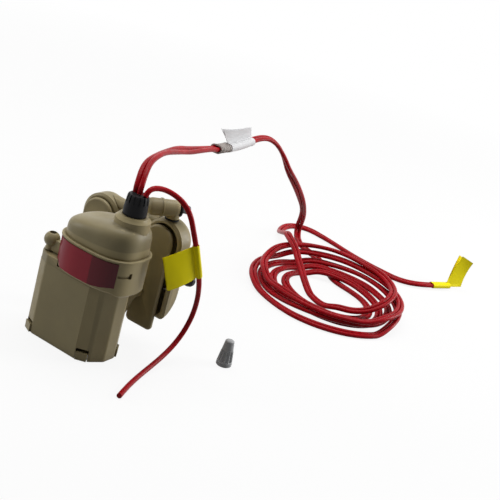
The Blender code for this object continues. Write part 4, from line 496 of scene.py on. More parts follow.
def winding_skin():
    """Lacquered copper strands that run round the ring."""
    made, tree, shader = new_material("copper_strands")
    values = {"Scale": 420.0, "Distortion": 1.5, "Vector": own_place(tree)}
    bands = add_node(tree, "TexWave", values, wave_type="RINGS", rings_direction="Z").outputs["Fac"]
    feed(shader, {"Metallic": 0.85, "Roughness": 0.3, "Normal": bump(tree, bands, 0.6, 0.0002),
                  "Base Color": ramp(tree, bands, (0.0, (0.28, 0.08, 0.03)), (1.0, (0.72, 0.32, 0.13)))})
    return made


def layered_skin(name, colour, scale, metallic):
    """Stacked sheet or a printed board: fine level lines."""
    made, tree, shader = new_material(name)
    values = {"Scale": scale, "Vector": own_place(tree)}
    lines = add_node(tree, "TexWave", values, bands_direction="Z").outputs["Fac"]
    tone = ramp(tree, lines, (0.0, shade(colour, 0.6)), (1.0, colour))
    body = mix(tree, 0.3, tone, drift(tree, 400.0, 0.05, 0.6, 4.0), "OVERLAY")
    feed(shader, {"Metallic": metallic, "Base Color": body, "Roughness": drift(tree, 300.0, 0.35, 0.55),
                  "Normal": bump(tree, lines, 0.3, 0.0001)})
    return made


# lighter tan painted on the moulding's sharp edges as a highlight
TAN_EDGE_HIGHLIGHT = (0.40, 0.33, 0.175)
SKINS = {
    "tan_plastic": plastic("tan_moulding", (0.285, 0.238, 0.130), 0.38, edge_highlight=TAN_EDGE_HIGHLIGHT, shine=0.22),
    "grey_plastic": plastic("grey_moulding", (0.37, 0.375, 0.38), 0.50, grain=0.2),
    "black_plastic": plastic("black_moulding", (0.010, 0.010, 0.011), 0.30, grain=0.15, shine=0.2),
    "white_plastic": plastic("white_moulding", (0.68, 0.68, 0.64), 0.40),
    "black_rubber": plastic("black_rubber_skin", (0.007, 0.007, 0.008), 0.45, grain=0.35, dusty=0.03,
                            shine=0.12),
    "bright_steel": metal("ground_steel", (0.62, 0.62, 0.63), 0.22, (1.0, 1.0, 0.1)),
    "plated_steel": metal("zinc_plate", (0.52, 0.53, 0.55), 0.30, (0.3, 1.0, 1.0)),
    "lamination_steel": layered_skin("stacked_sheet", (0.34, 0.34, 0.36), 900.0, 0.9),
    "copper_winding": winding_skin(),
    "board_green": layered_skin("board_resist", (0.03, 0.20, 0.07), 60.0, 0.0),
    "capacitor_case": metal("drawn_can", (0.60, 0.60, 0.62), 0.28, (1.0, 1.0, 0.2)),
    "label_red": label_skin(),
    "red_wire": wire_skin(),
    "clear_sleeve": film("shrunk_sleeve", (0.50, 0.45, 0.42), 0.30, 0.6),
    "white_tag": film("white_stock", (0.80, 0.80, 0.81), 0.42, 0.25),
    "yellow_tag": film("yellow_stock", (0.98, 0.84, 0.003), 0.42, 0.25),
    "dark_metal": metal("dark_plate", (0.10, 0.10, 0.11), 0.25),
}
SLOT_OF = {entry["node"]: entry["material_slot"] for entry in frame["record"]["subparts"]}


# ================================================================ helpers
FORMS = {}
CUTTERS = []


def to_object(name, bm):
    mesh = bpy.data.meshes.new(name)
    bmesh.ops.recalc_face_normals(bm, faces=bm.faces)
    bm.to_mesh(mesh)
    bm.free()
    return add_to_scene(name, mesh)


def add_object(node, bm):
    """A dressed piece that stands for the CAD node of that name."""
    made = to_object(node + "_form", bm)
    FORMS[node] = made
    return made


def cutter(name, bm):
    """A shape used only by Boolean modifiers."""
    made = to_object("tool_" + name, bm)
    made.hide_render = True
    CUTTERS.append(made)
    return made


def boolean(target, tool, operation="DIFFERENCE"):
    step = target.modifiers.new(tool.name, "BOOLEAN")
    step.operation = operation
    step.solver = "EXACT"
    step.object = tool


def settle_mesh(made):
    """Applies the modifiers into the mesh."""
    graph = bpy.context.evaluated_depsgraph_get()
    mesh = bpy.data.meshes.new_from_object(made.evaluated_get(graph))
    made.modifiers.clear()
    made.data = mesh


def wear(mesh, skin):
    """Puts one skin on all of a mesh."""
    mesh.materials.clear()
    mesh.materials.append(SKINS[skin])
    mesh.polygons.foreach_set("material_index", [0] * len(mesh.polygons))


def dress(made, node, skin):
    """Gives a piece its skin and body, and lets it stand for its CAD node."""
    wear(made.data, skin)
    made.data.shade_smooth()
    made.data.set_sharp_from_angle(angle=math.radians(SHARP_ANGLE))
    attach(made, frame["nodes"][node]["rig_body"])
    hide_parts(node)


def ease(share):
    """A smooth step from 0 to 1."""
    return share * share * (3 - 2 * share)


def unit(rows):
    return rows / np.linalg.norm(rows, axis=1, keepdims=True)


def distances(path):
    """How far along the path each of its points lies."""
    return np.concatenate([[0.0], np.cumsum(np.linalg.norm(np.diff(path, axis=0), axis=1))])


def sampled(rows, steps, marks):
    """Values at the marks of rows that are given at the steps."""
    return np.column_stack([np.interp(marks, steps, column) for column in rows.T])


def skin_rows(bm, low, high):
    """Faces between two rows of equally many points."""
    for i in range(len(low)):
        j = (i + 1) % len(low)
        bm.faces.new((low[i], low[j], high[j], high[i]))


def loft(bm, rings, closed=False):
    """Skins rings of equally many points. Open lofts get end faces; closed ones join last to first."""
    rows = [[bm.verts.new(point) for point in ring] for ring in rings]
    for low, high in zip(rows, rows[1:] + rows[:1] if closed else rows[1:]):
        skin_rows(bm, low, high)
    if not closed:
        bm.faces.new(rows[0][::-1])
        bm.faces.new(rows[-1])
    return bm


def shell(outside, inside):
    """A hollow shape: rings up its outside, then rings back down its inside, joined at the rim."""
    bm = bmesh.new()
    rows = [[bm.verts.new(point) for point in ring] for ring in outside + inside]
    for number, (low, high) in enumerate(zip(rows, rows[1:] + rows[:1]), 1):
        if number == len(outside):
            bm.faces.new(low)
            bm.faces.new(high[::-1])
        else:
            skin_rows(bm, low, high)
    return bm


def at_height(outline, z):
    return [Vector((x, y, z)) for x, y in outline]


def prism(outline, z0, z1):
    """An upright prism over a plan outline."""
    return loft(bmesh.new(), [at_height(outline, z) for z in (z0, z1)])


def box(bm, low, high, turn=None):
    """Adds an axis-aligned box, or one turned by a matrix."""
    (x0, y0, z0), (x1, y1, z1) = low, high
    rings = [at_height(((x0, y0), (x1, y0), (x1, y1), (x0, y1)), z) for z in (z0, z1)]
    if turn is not None:
        rings = [[turn @ point for point in ring] for ring in rings]
    return loft(bm, rings)


def circle(radius, z, sides, x=0.0, y=0.0, shift=0.0):
    angles = [2 * math.pi * (i + shift) / sides for i in range(sides)]
    return [Vector((x + radius * math.cos(a), y + radius * math.sin(a), z)) for a in angles]


def turned(profile, sides=ROUND, place=None, bm=None):
    """Turns a closed (radius, height) profile about Z. A radius of 0 closes on the axis."""
    bm = bm or bmesh.new()
    rows = [[bm.verts.new(point) for point in (circle(radius, z, sides) if radius else [(0.0, 0.0, z)])]
            for radius, z in profile]
    on_axis = len(rows[0]) == 1
    for low, high in zip(rows, rows[1:] if on_axis else rows[1:] + rows[:1]):
        for i in range(sides):
            j = (i + 1) % sides
            corners = (low[i % len(low)], low[j % len(low)], high[j % len(high)], high[i % len(high)])
            bm.faces.new(list(dict.fromkeys(corners)))
    if place is not None:
        bmesh.ops.transform(bm, matrix=place, verts=[v for row in rows for v in row])
    return bm


def ring_profile(inner, outer, bottom, top):
    return [(inner, bottom), (outer, bottom), (outer, top), (inner, top)]


def along(axis, origin):
    """A matrix that lays +Z along an axis and moves the origin."""
    turn = Vector((0, 0, 1)).rotation_difference(Vector(axis)).to_matrix().to_4x4()
    return Matrix.Translation(Vector(origin)) @ turn


def upright(x, y, z=0.0, turn=0.0):
    """A matrix that moves the origin and turns about Z."""
    return Matrix.Translation((x, y, z)) @ Matrix.Rotation(turn, 4, "Z")


def rod(radius, start, end):
    """A plain round bar between two points."""
    start, end = Vector(start), Vector(end)
    length = (end - start).length
    profile = [(0.0, 0.0), (radius, 0.0), (radius, length), (0.0, length)]
    return turned(profile, ROUND, along(end - start, start))


def arc(before, corner, after, radius, steps):
    """Points of the arc that rounds a corner between two straights."""
    before, corner, after = Vector(before), Vector(corner), Vector(after)
    back, ahead = (before - corner).normalized(), (after - corner).normalized()
    half = back.angle(ahead) / 2
    centre = corner + (back + ahead).normalized() * (radius / math.sin(half))
    start = corner + back * (radius / math.tan(half)) - centre
    end = corner + ahead * (radius / math.tan(half)) - centre
    sweep = start.angle(end)
    return [centre + (start * math.sin(sweep - share) + end * math.sin(share)) / math.sin(sweep)
            for share in (sweep * step / steps for step in range(steps + 1))]


def can_outline(shrink):
    """The can's plan: broad front and rear faces, two facets at each corner and short flat sides."""
    tan_a = (CAN_HALF_DEPTH - CAN_SHOULDER_DEPTH) / (CAN_SHOULDER_HALF - CAN_FACE_HALF)
    tan_b = (CAN_SHOULDER_DEPTH - CAN_SIDE_HALF) / (CAN_HALF_WIDTH - CAN_SHOULDER_HALF)
    quarter = [
        (CAN_FACE_HALF - shrink * math.tan(math.atan(tan_a) / 2), CAN_HALF_DEPTH - shrink),
        (CAN_SHOULDER_HALF - shrink * 0.66, CAN_SHOULDER_DEPTH - shrink * 0.76),
        (CAN_HALF_WIDTH - shrink, CAN_SIDE_HALF - shrink * math.tan((math.pi / 2 - math.atan(tan_b)) / 2)),
    ]
    corners = [(x * sx, y * sy) for sx, sy in ((1, 1), (-1, 1), (-1, -1), (1, -1))
               for x, y in quarter[::-sx * sy]]
    around = zip(corners[-1:] + corners[:-1], corners, corners[1:] + corners[:1], CORNER_ROUNDS)
    return [tuple(point) for before, corner, after, radius in around
            for point in arc(before, corner, after, radius, 6)]


def cap_point(angle, offset=0.0):
    """A point of the cap's plan, a superellipse, at an angle in radians."""
    c, s = math.cos(angle), math.sin(angle)
    power = 2.0 / CAP_POWER
    x = (CAP_HALF_WIDTH + offset) * math.copysign(abs(c) ** power, c)
    y = (CAP_HALF_DEPTH + offset) * math.copysign(abs(s) ** power, s)
    return CAP_X + x, CAP_Y + y


def cap_outline(offset=0.0):
    return [cap_point(2 * math.pi * (i + 0.5) / SEG, offset) for i in range(SEG)]


def dome_height(x):
    """Height of the dome over the skirt: it rises from the left end to the right one."""
    share = (x - CAP_X + CAP_HALF_WIDTH) / (2 * CAP_HALF_WIDTH)
    return DOME_LOW + (DOME_HIGH - DOME_LOW) * share


def arch_ring(centre_x, y, half, bottom, corner=0.0, drop=0.0, steps=44):
    """A tombstone outline at depth y, round on top, with rounded lower corners."""
    angles = [math.pi * i / steps for i in range(steps + 1)]
    points = [(half * math.cos(a), ARCH_Z + half * math.sin(a)) for a in angles]
    corner = max(corner, 0.0002)
    for corner_x, first in ((-half + corner, 180), (half - corner, 270)):
        for a in (math.radians(first + 11.25 * i) for i in range(9)):
            points.append((corner_x + corner * math.cos(a), bottom + corner + corner * math.sin(a)))
    return [Vector((centre_x + x, y, z - drop)) for x, z in points]


def facet_frame(side, rear):
    """A matrix at the middle of a corner facet's rim, with +X out of the facet."""
    corners = [Vector((*place, 0.0)) for place in ((CAN_FACE_HALF, CAN_HALF_DEPTH),
                                                   (CAN_SHOULDER_HALF, CAN_SHOULDER_DEPTH),
                                                   (CAN_HALF_WIDTH, CAN_SIDE_HALF))]
    start, end = corners[1:] if rear else corners[:2]
    middle = (start + end) / 2
    normal = Vector((start.y - end.y, end.x - start.x, 0.0)).normalized()
    depth = 1.0 if rear else -1.0
    return upright(middle.x * side, middle.y * depth, 0.0, math.atan2(normal.y * depth, normal.x * side))


# ================================================================ can and strainer
TAB_PLACES = [(side, rear) for side in (-1, 1) for rear in (False, True)]


def pump_casing():
    under, draft = CAN_HEIGHT - BAND_HEIGHT, CAN_DRAFT + BAND_DEPTH
    levels = ((0.0, 0.0004), (0.0004, 0.0), (under - 0.0003, CAN_DRAFT), (under, CAN_DRAFT + 0.0001),
              (under + 0.0002, draft), (CAN_HEIGHT - 0.0007, draft), (CAN_HEIGHT - 0.0002, draft + 0.0002),
              (CAN_HEIGHT, draft + 0.0007))
    rings = [at_height(can_outline(shrink), z) for z, shrink in levels]
    casing = add_object("pump_casing", loft(bmesh.new(), rings))
    boolean(casing, cutter("cap_recess", prism(cap_outline(GAP), CAN_LEDGE, CAN_HEIGHT + 0.01)))

    neck = cutter("neck", prism(can_outline(CAN_DRAFT), CAN_LEDGE - 0.001, NECK_TOP))
    boolean(neck, cutter("neck_plan", prism(cap_outline(-WALL - 2 * GAP), 0.0, 0.1)), "INTERSECT")
    boolean(casing, neck, "UNION")

    boolean(casing, cutter("can_cavity", prism(can_outline(WALL + CAN_DRAFT), -0.01, CAN_LEDGE - WALL)))
    hollow = prism(can_outline(WALL + CAN_DRAFT), CAN_LEDGE - WALL - 0.001, NECK_TOP + 0.01)
    hollow = cutter("neck_cavity", hollow)
    plan = prism(cap_outline(-2 * WALL - 2 * GAP), 0.0, 0.1)
    boolean(hollow, cutter("neck_hollow_plan", plan), "INTERSECT")
    boolean(casing, hollow)

    windows = bmesh.new()
    half = TAB_WIDTH / 2 + GAP
    for side, rear in TAB_PLACES:
        box(windows, (-WALL * 2, -half, -0.01), (0.01, half, WINDOW_TOP), facet_frame(side, rear))
    boolean(casing, cutter("tab_windows", windows))

    notch = box(bmesh.new(), (-INTAKE_HALF, CAN_HALF_DEPTH - 2 * WALL, -0.01),
                (INTAKE_HALF, CAN_HALF_DEPTH + 0.01, INTAKE_HEIGHT))
    boolean(casing, cutter("intake_notch", notch))
    port = rod(PORT_R, (PORT_X, CAN_HALF_DEPTH - 0.01, PORT_Z), (PORT_X, CAN_HALF_DEPTH + 0.01, PORT_Z))
    boolean(casing, cutter("discharge_hole", port))
    pilots = bmesh.new()
    profile = [(0.0, -SCREW_LENGTH), (SCREW_R + GAP, -SCREW_LENGTH), (SCREW_R + GAP, 0.01), (0.0, 0.01)]
    for y in (-LUG_Y, LUG_Y):
        turned(profile, ROUND, upright(LUG_X, y, CAN_HEIGHT), pilots)
    boolean(casing, cutter("pilot_holes", pilots))


def strainer_base():
    plate = prism(can_outline(WALL + CAN_DRAFT + GAP), STRAINER_BOTTOM, STRAINER_TOP)
    base = add_object("strainer_base", plate)
    tabs = bmesh.new()
    for side, rear in TAB_PLACES:
        box(tabs, (-0.0050, -TAB_WIDTH / 2, TAB_BOTTOM), (TAB_PROUD, TAB_WIDTH / 2, TAB_TOP),
            facet_frame(side, rear))
    boolean(base, cutter("tabs", tabs), "UNION")
    foot = [(0.0, 0.0), (FOOT_R, 0.0), (FOOT_R, STRAINER_TOP - 0.0004), (0.0, STRAINER_TOP - 0.0004)]
    boolean(base, cutter("centre_foot", turned(foot)), "UNION")
    slots = bmesh.new()
    for side in (-1, 1):
        for row in range(SLOT_ROWS):
            x = side * (FOOT_R + SLOT_PITCH * (row + 0.7))
            reach = 0.0085 if row < 3 else 0.0040
            box(slots, (x - SLOT_WIDTH / 2, -reach, 0.001), (x + SLOT_WIDTH / 2, reach, 0.006))
    boolean(base, cutter("strainer_slots", slots))


# ================================================================ cap and gland
def label_bottom(along_label):
    """Height of the label's lower edge: over the can's deck on the left, and lower in front of it."""
    start = min(max((along_label - 0.13) / 0.12, 0.0), 1.0)
    end = min(max((along_label - 0.55) / 0.45, 0.0), 1.0)
    return LABEL_BOTTOM - LABEL_DIP * ease(start) * (1 - ease(end))


def squareness(towards_right):
    """Exponent of the dome's section, from -1 at the left end to 1 at the right one."""
    return SQUARENESS_LEFT + (SQUARENESS_RIGHT - SQUARENESS_LEFT) * (1 + towards_right) / 2


def dome_rings(offset, drop, steps, last):
    """Rings of the dome from its foot to near its top; drop lowers it for the inside."""
    rings = []
    for step in range(steps + 1):
        angle = (math.pi / 2) * last * step / steps
        ring = []
        for number, (edge_x, edge_y) in enumerate(cap_outline(offset)):
            power = squareness(math.cos(2 * math.pi * (number + 0.5) / SEG))
            scale = math.cos(angle) ** power
            rise = math.sin(angle) ** power if step else 0.0
            x, y = CAP_X + (edge_x - CAP_X) * scale, CAP_Y + (edge_y - CAP_Y) * scale
            ring.append(Vector((x, y, SKIRT_TOP + max(dome_height(x) * rise - drop * rise, 0.0))))
        rings.append(ring)
    return rings


def dome_top(x, y):
    """How far out a point of the plan lies, from 0 to 1, and the height of the dome's outside over it."""
    across = (x - CAP_X) / (CAP_HALF_WIDTH - DOME_INSET)
    deep = (y - CAP_Y) / (CAP_HALF_DEPTH - DOME_INSET)
    reach = min((abs(across) ** CAP_POWER + abs(deep) ** CAP_POWER) ** (1 / CAP_POWER), 1.0)
    power = squareness(math.copysign((abs(across) / max(reach, 1e-6)) ** (CAP_POWER / 2), across))
    return reach, SKIRT_TOP + dome_height(x) * (1 - reach ** (2 / power)) ** (power / 2)


def collar_foot():
    """The hollow fillet where the collar grows out of the dome."""
    sides, steps, shift = 96, 9, 0.37
    rings = []
    for step in range(-1, steps + 1):
        lean = math.pi / 2 * max(step, 0) / steps
        sunk = 0.0008 if step < 0 else 0.00003
        ring = []
        for i in range(sides):
            angle = 2 * math.pi * (i + shift) / sides
            c, s = math.cos(angle), math.sin(angle)
            reach = dome_top(COLLAR_X + COLLAR_R * c, COLLAR_R * s)[0]
            width = FOOT_FILLET * min(max((0.99 - reach) / 0.22, 0.12), 1.0)
            radius = COLLAR_R - 0.00014 + width * (1 - math.sin(lean))
            x, y = COLLAR_X + radius * c, radius * s
            ring.append(Vector((x, y, dome_top(x, y)[1] + width * (1 - math.cos(lean)) - sunk)))
        rings.append(ring)
    low, high = (circle(COLLAR_R * 0.6, z, sides, COLLAR_X, 0.0, shift)
                 for z in (SKIRT_TOP + 0.0100, COLLAR_TOP - 0.0015))
    return loft(bmesh.new(), [low] + rings + [high])


def skirt_drop(x):
    """How far the skirt's lower edge hangs below its level, beyond the can's right end."""
    return SKIRT_DROP * ease(min(max((x - CAN_HALF_WIDTH - GAP) / 0.0040, 0.0), 1.0))


def domed_cap():
    def flat(offset, z):
        return at_height(cap_outline(offset), z)

    def low(offset, rise):
        return [Vector((x, y, SKIRT_BOTTOM + rise - skirt_drop(x))) for x, y in cap_outline(offset)]

    outside = [low(-0.0006, 0.0), low(0.0, 0.0009), flat(0.0, SKIRT_TOP - BEAD_HEIGHT),
               flat(BEAD, SKIRT_TOP - BEAD_HEIGHT + 0.0003), flat(BEAD, SKIRT_TOP - 0.0002),
               flat(BEAD - 0.0005, SKIRT_TOP + 0.0002)]
    outside += dome_rings(-DOME_INSET, 0.0, 52, 0.985)
    inside = dome_rings(-DOME_INSET - WALL, WALL, 8, 0.9)[:0:-1]
    inside += [flat(-DOME_INSET - WALL, SKIRT_TOP - WALL), flat(-WALL, SKIRT_TOP - WALL - 0.0012),
               low(-WALL, 0.0)]
    cap = add_object("domed_cap", shell(outside, inside))

    collar = [(0.0, SKIRT_TOP + 0.0095), (COLLAR_R, SKIRT_TOP + 0.0095), (COLLAR_R, COLLAR_TOP - 0.0008),
              (COLLAR_R - 0.0008, COLLAR_TOP), (SEAT_R + 0.0006, SEAT_TOP - 0.0008), (SEAT_R, SEAT_TOP),
              (0.0, SEAT_TOP)]
    boolean(cap, cutter("collar", turned(collar, FINE_ROUND, upright(COLLAR_X, 0, 0, OFF_STEP))), "UNION")
    boolean(cap, cutter("collar_foot", collar_foot()), "UNION")

    lugs, webs, holes = bmesh.new(), bmesh.new(), bmesh.new()
    bottom = CAN_HEIGHT + GAP
    ball = [math.radians(a) for a in range(-54, 90, 6)]
    lug = [(0.0, bottom), (LUG_R * 0.58, bottom)]
    lug += [(LUG_R * math.cos(a), bottom + LUG_HEIGHT - LUG_R * (1 - math.sin(a))) for a in ball]
    lug += [(0.0, bottom + LUG_HEIGHT)]
    web_end = CAP_X - CAP_HALF_WIDTH + WALL * 0.9 + 0.0012
    seat = CAN_HEIGHT + LUG_HEIGHT * SCREW_SEAT
    hole = [(0.0, CAN_HEIGHT - 0.01), (SCREW_R + GAP, CAN_HEIGHT - 0.01), (SCREW_R + GAP, seat),
            (SCREW_HEAD_R + GAP, seat), (SCREW_HEAD_R + GAP, seat + 0.01), (0.0, seat + 0.01)]
    for y in (-LUG_Y, LUG_Y):
        turned(lug, ROUND, upright(LUG_X, y, 0, OFF_STEP), lugs)
        box(webs, (LUG_X, y - WEB_HALF, CAN_HEIGHT + 2 * GAP),
            (web_end, y + WEB_HALF, CAN_HEIGHT + LUG_HEIGHT * 0.7))
        turned(hole, ROUND, upright(LUG_X, y), holes)
    boolean(cap, cutter("screw_lugs", lugs), "UNION")
    boolean(cap, cutter("lug_webs", webs), "UNION")
    bore = rod(GLAND_BORE_R, (COLLAR_X, 0, SKIRT_TOP), (COLLAR_X, 0, SEAT_TOP + 0.01))
    boolean(cap, cutter("gland_bore", bore))
    boolean(cap, cutter("screw_holes", holes))

    steps = 5
    rings = []
    for step in range(steps + 1):
        angle = math.radians(LATCH_FROM + (LATCH_TO - LATCH_FROM) * step / steps)
        inner, outer = cap_point(angle, -0.0007), cap_point(angle, 0.002)
        rings.append([Vector((*edge, LATCH_Z + rise * LATCH_SLIT / 2))
                      for edge, rise in ((inner, -1), (outer, -1), (outer, 1), (inner, 1))])
    boolean(cap, cutter("latch_slit", loft(bmesh.new(), rings)))
    hole_x, hole_y = cap_point(math.radians(LATCH_TO + 2.5))
    ahead = cap_point(math.radians(LATCH_TO + 4.5))
    turn = math.atan2(ahead[1] - hole_y, ahead[0] - hole_x)
    window = box(bmesh.new(), (-0.0010, -0.004, -LATCH_WINDOW / 2), (0.0009, 0.004, LATCH_WINDOW / 2),
                 upright(hole_x, hole_y, LATCH_Z + 0.0003, turn))
    boolean(cap, cutter("latch_window", window))


def cap_screws():
    seat = CAN_HEIGHT + LUG_HEIGHT * SCREW_SEAT + GAP
    tip = seat - LUG_HEIGHT * SCREW_SEAT - SCREW_LENGTH + 2 * GAP
    profile = [(0.0, tip), (SCREW_R, tip), (SCREW_R, seat), (SCREW_HEAD_R, seat),
               (SCREW_HEAD_R, seat + 0.0012), (SCREW_HEAD_R * 0.4, seat + 0.0018), (0.0, seat + 0.0018)]
    for name, y in (("cap_screw_front", -LUG_Y), ("cap_screw_rear", LUG_Y)):
        add_object(name, turned(profile, ROUND, upright(LUG_X, y)))


def cable_gland():
    base = SEAT_TOP + GAP
    top = base + GLAND_HEIGHT
    profile = [(0.0, SEAT_TOP - GLAND_STEM), (GLAND_BORE_R - GAP, SEAT_TOP - GLAND_STEM),
               (GLAND_BORE_R - GAP, base), (GLAND_BASE_R, base), (GLAND_BASE_R, base + GLAND_HEIGHT * 0.3),
               (GLAND_TOP_R + 0.0003, top - 0.0016), (GLAND_TOP_R, top - 0.0004), (GLAND_TOP_R - 0.0004, top),
               (0.0, top)]
    gland = add_object("cable_gland", turned(profile, FINE_ROUND, upright(COLLAR_X, 0)))
    notches = bmesh.new()
    lean = Matrix.Translation((GLAND_TOP_R, 0, top)) @ Matrix.Rotation(math.radians(-9), 4, "Y")
    for i in range(GLAND_NOTCHES):
        place = upright(COLLAR_X, 0, 0, 2 * math.pi * (i + 0.3) / GLAND_NOTCHES)
        box(notches, (-0.00050, -0.00040, -0.0040), (0.002, 0.00042, 0.002), place @ lean)
    boolean(gland, cutter("gland_notches", notches))


# ================================================================ rear float and outlet unit
DEPTH_SHARES = (0.07, 0.15, 0.25, 0.35, 0.45, 0.55, 0.64, 0.72, 0.79, 0.85, 0.90, 0.94, 0.97, 0.985)
INNER_SHARES = (0.86, 0.75, 0.6, 0.4, 0.12)
CHAMBER_FRONT = COVER_FRONT + COVER_THICK + GAP
CHAMBER_DEPTH = CHAMBER_BACK - CHAMBER_FRONT
FLOAT_X = -CHAMBER_X + FLOAT_SHIFT
LINK_LEFT = Vector((FLOAT_X + 0.0030, LINK_Y, LINK_Z - FLOAT_DROP))
LINK_RIGHT = Vector((CHAMBER_X - 0.0030, LINK_Y, LINK_Z))


def chamber_ring(centre_x, share, inset, drop):
    """A cross-section of a chamber at a share of its depth: arched top, bottom that sweeps up to the back."""
    y = CHAMBER_FRONT + CHAMBER_DEPTH * share
    bottom = CHAMBER_LOW + (CHAMBER_HIGH - CHAMBER_LOW) * (1 - math.sqrt(1 - share ** 2) ** 0.9)
    half = CHAMBER_R - inset
    turn = (y - (CHAMBER_BACK - BACK_ROUND)) / BACK_ROUND
    if turn > 0:
        half -= BACK_ROUND * (1 - math.sqrt(max(1 - turn ** 2, 0.0)))
    return arch_ring(centre_x, y, half, bottom + inset, CHAMBER_CORNER, drop)


def chamber(name, centre_x, drop):
    outside = [arch_ring(centre_x, CHAMBER_FRONT, CHAMBER_R - FRONT_ROUND, CHAMBER_LOW + FRONT_ROUND,
                         CHAMBER_CORNER, drop)]
    outside += [chamber_ring(centre_x, share, 0.0, drop) for share in DEPTH_SHARES]
    inside = [chamber_ring(centre_x, share, WALL, drop) for share in INNER_SHARES]
    rim = chamber_ring(centre_x, 0.01, WALL + 0.0006, drop)
    inside.append([Vector((point.x, CHAMBER_FRONT, point.z)) for point in rim])
    return add_object(name, shell(outside, inside))


def cover(name, centre_x, drop, half):
    back = COVER_FRONT + COVER_THICK
    steps = 6
    rings = []
    for step in range(steps, -1, -1):
        lean = math.pi / 2 * step / steps
        inset = COVER_ROUND * (1 - math.cos(lean))
        rings.append(arch_ring(centre_x, COVER_FRONT + COVER_ROUND * (1 - math.sin(lean)), half - inset,
                               COVER_BOTTOM + inset, COVER_CORNER, drop))
    for y, inset in ((back - 0.0003, 0.0), (back, 0.0003)):
        rings.append(arch_ring(centre_x, y, half - inset, COVER_BOTTOM + inset, COVER_CORNER, drop))
    return add_object(name, loft(bmesh.new(), rings))


def rear_unit():
    float_chamber = chamber("float_chamber", FLOAT_X, FLOAT_DROP)
    riser_chamber = chamber("riser_chamber", CHAMBER_X, 0.0)
    float_cover = cover("float_cover", FLOAT_X, FLOAT_DROP, COVER_HALF)
    riser_cover = cover("riser_cover", RISER_COVER_X, 0.0, RISER_COVER_HALF)

    middle = (LINK_LEFT + LINK_RIGHT) / 2
    for body, end in ((float_chamber, LINK_LEFT), (riser_chamber, LINK_RIGHT)):
        hole = rod(LINK_BORE_R, end + (end - middle) * 0.02, middle)
        boolean(body, cutter(body.name + "_link_hole", hole))
    throat = rod(SPIGOT_R + GAP, (PIVOT_X, PIVOT_Y, ARCH_Z), (PIVOT_X, PIVOT_Y, ARCH_Z + CHAMBER_R + 0.01))
    boolean(riser_chamber, cutter("outlet_throat", throat))
    side_wall = CHAMBER_X + CHAMBER_R
    vent = rod(PLUG_STEM_R + GAP, (side_wall - 0.006, PLUG_Y, PLUG_Z), (side_wall + 0.006, PLUG_Y, PLUG_Z))
    boolean(riser_chamber, cutter("vent_hole", vent))
    front, back = COVER_FRONT - 0.01, COVER_FRONT + 0.0045
    inlet = rod(DUCT_BORE_R, (INLET_X, front, INLET_Z), (INLET_X, back, INLET_Z))
    boolean(riser_cover, cutter("riser_inlet", inlet))
    slots = bmesh.new()
    for centre in (FLOAT_X - 0.0050, FLOAT_X, FLOAT_X + 0.0050):
        box(slots, (centre - LEVEL_SLOT_HALF, front, 0.0380), (centre + LEVEL_SLOT_HALF, back, 0.0480))
    boolean(float_cover, cutter("level_slots", slots))

    front, back = CAN_HALF_DEPTH + GAP, COVER_FRONT - GAP
    web_front, web_back = front + BRACE_FLANGE, back - BRACE_FLANGE
    middle = (BRACE_BOTTOM + BRACE_TOP) / 2
    web_low, web_high = middle - BRACE_WEB / 2, middle + BRACE_WEB / 2
    plan = [(front, BRACE_BOTTOM), (web_front, BRACE_BOTTOM), (web_front, web_low), (web_back, web_low),
            (web_back, BRACE_BOTTOM), (back, BRACE_BOTTOM), (back, BRACE_TOP), (web_back, BRACE_TOP),
            (web_back, web_high), (web_front, web_high), (web_front, BRACE_TOP), (front, BRACE_TOP)]
    rings = [[Vector((x, y, z)) for y, z in plan] for x in (-BRACE_HALF, BRACE_HALF)]
    brace = add_object("rear_brace", loft(bmesh.new(), rings))
    boolean(brace, cutter("brace_duct_notch", duct_solid(DUCT_R + 2 * GAP, 0.004)))

    axis = LINK_RIGHT - LINK_LEFT
    length = axis.length
    profile = [(0.0, 0.0), (LINK_FLARE_R, 0.0), (LINK_FLARE_R, 0.0015), (LINK_R + 0.0004, 0.0085),
               (LINK_R, length / 2), (LINK_R + 0.0004, length - 0.0085), (LINK_FLARE_R, length - 0.0015),
               (LINK_FLARE_R, length), (0.0, length)]
    link_pipe = add_object("link_pipe", turned(profile, 64, along(axis, LINK_LEFT)))
    for x, drop in ((FLOAT_X, FLOAT_DROP), (CHAMBER_X, 0.0)):
        rings = [arch_ring(x, y, CHAMBER_R + GAP, CHAMBER_LOW, 0.0, drop) for y in (0.02, 0.05)]
        boolean(link_pipe, cutter("link_saddle", loft(bmesh.new(), rings)))
    boolean(link_pipe, cutter("link_bore", rod(LINK_BORE_R, LINK_LEFT - axis * 0.1, LINK_RIGHT + axis * 0.1)))


def duct_points(extra):
    """Centre line of the duct from the can's port to the riser's inlet."""
    middle_y = (CAN_HALF_DEPTH + COVER_FRONT) / 2
    start, end = (PORT_X, CAN_HALF_DEPTH + GAP - extra, PORT_Z), (INLET_X, COVER_FRONT - GAP + extra, INLET_Z)
    first, second = (PORT_X, middle_y, PORT_Z), (INLET_X, middle_y, INLET_Z)
    return [Vector(start), *arc(start, first, second, DUCT_BEND, 14), *arc(first, second, end, DUCT_BEND, 14),
            Vector(end)]


def duct_solid(radius, extra):
    """A round tube along the duct's line, with both end faces square to Y."""
    points = duct_points(extra)
    rings = []
    side = Vector((0, 0, 1))
    for i, point in enumerate(points):
        ahead = points[min(i + 1, len(points) - 1)] - points[max(i - 1, 0)]
        if i in (0, len(points) - 1):
            ahead = Vector((0, 1, 0))
        ahead = ahead.normalized()
        side = (side - ahead * side.dot(ahead)).normalized()
        up = ahead.cross(side)
        rings.append([point + (side * math.cos(a) + up * math.sin(a)) * radius
                      for a in (2 * math.pi * (k + 0.5) / 40 for k in range(40))])
    return loft(bmesh.new(), rings)


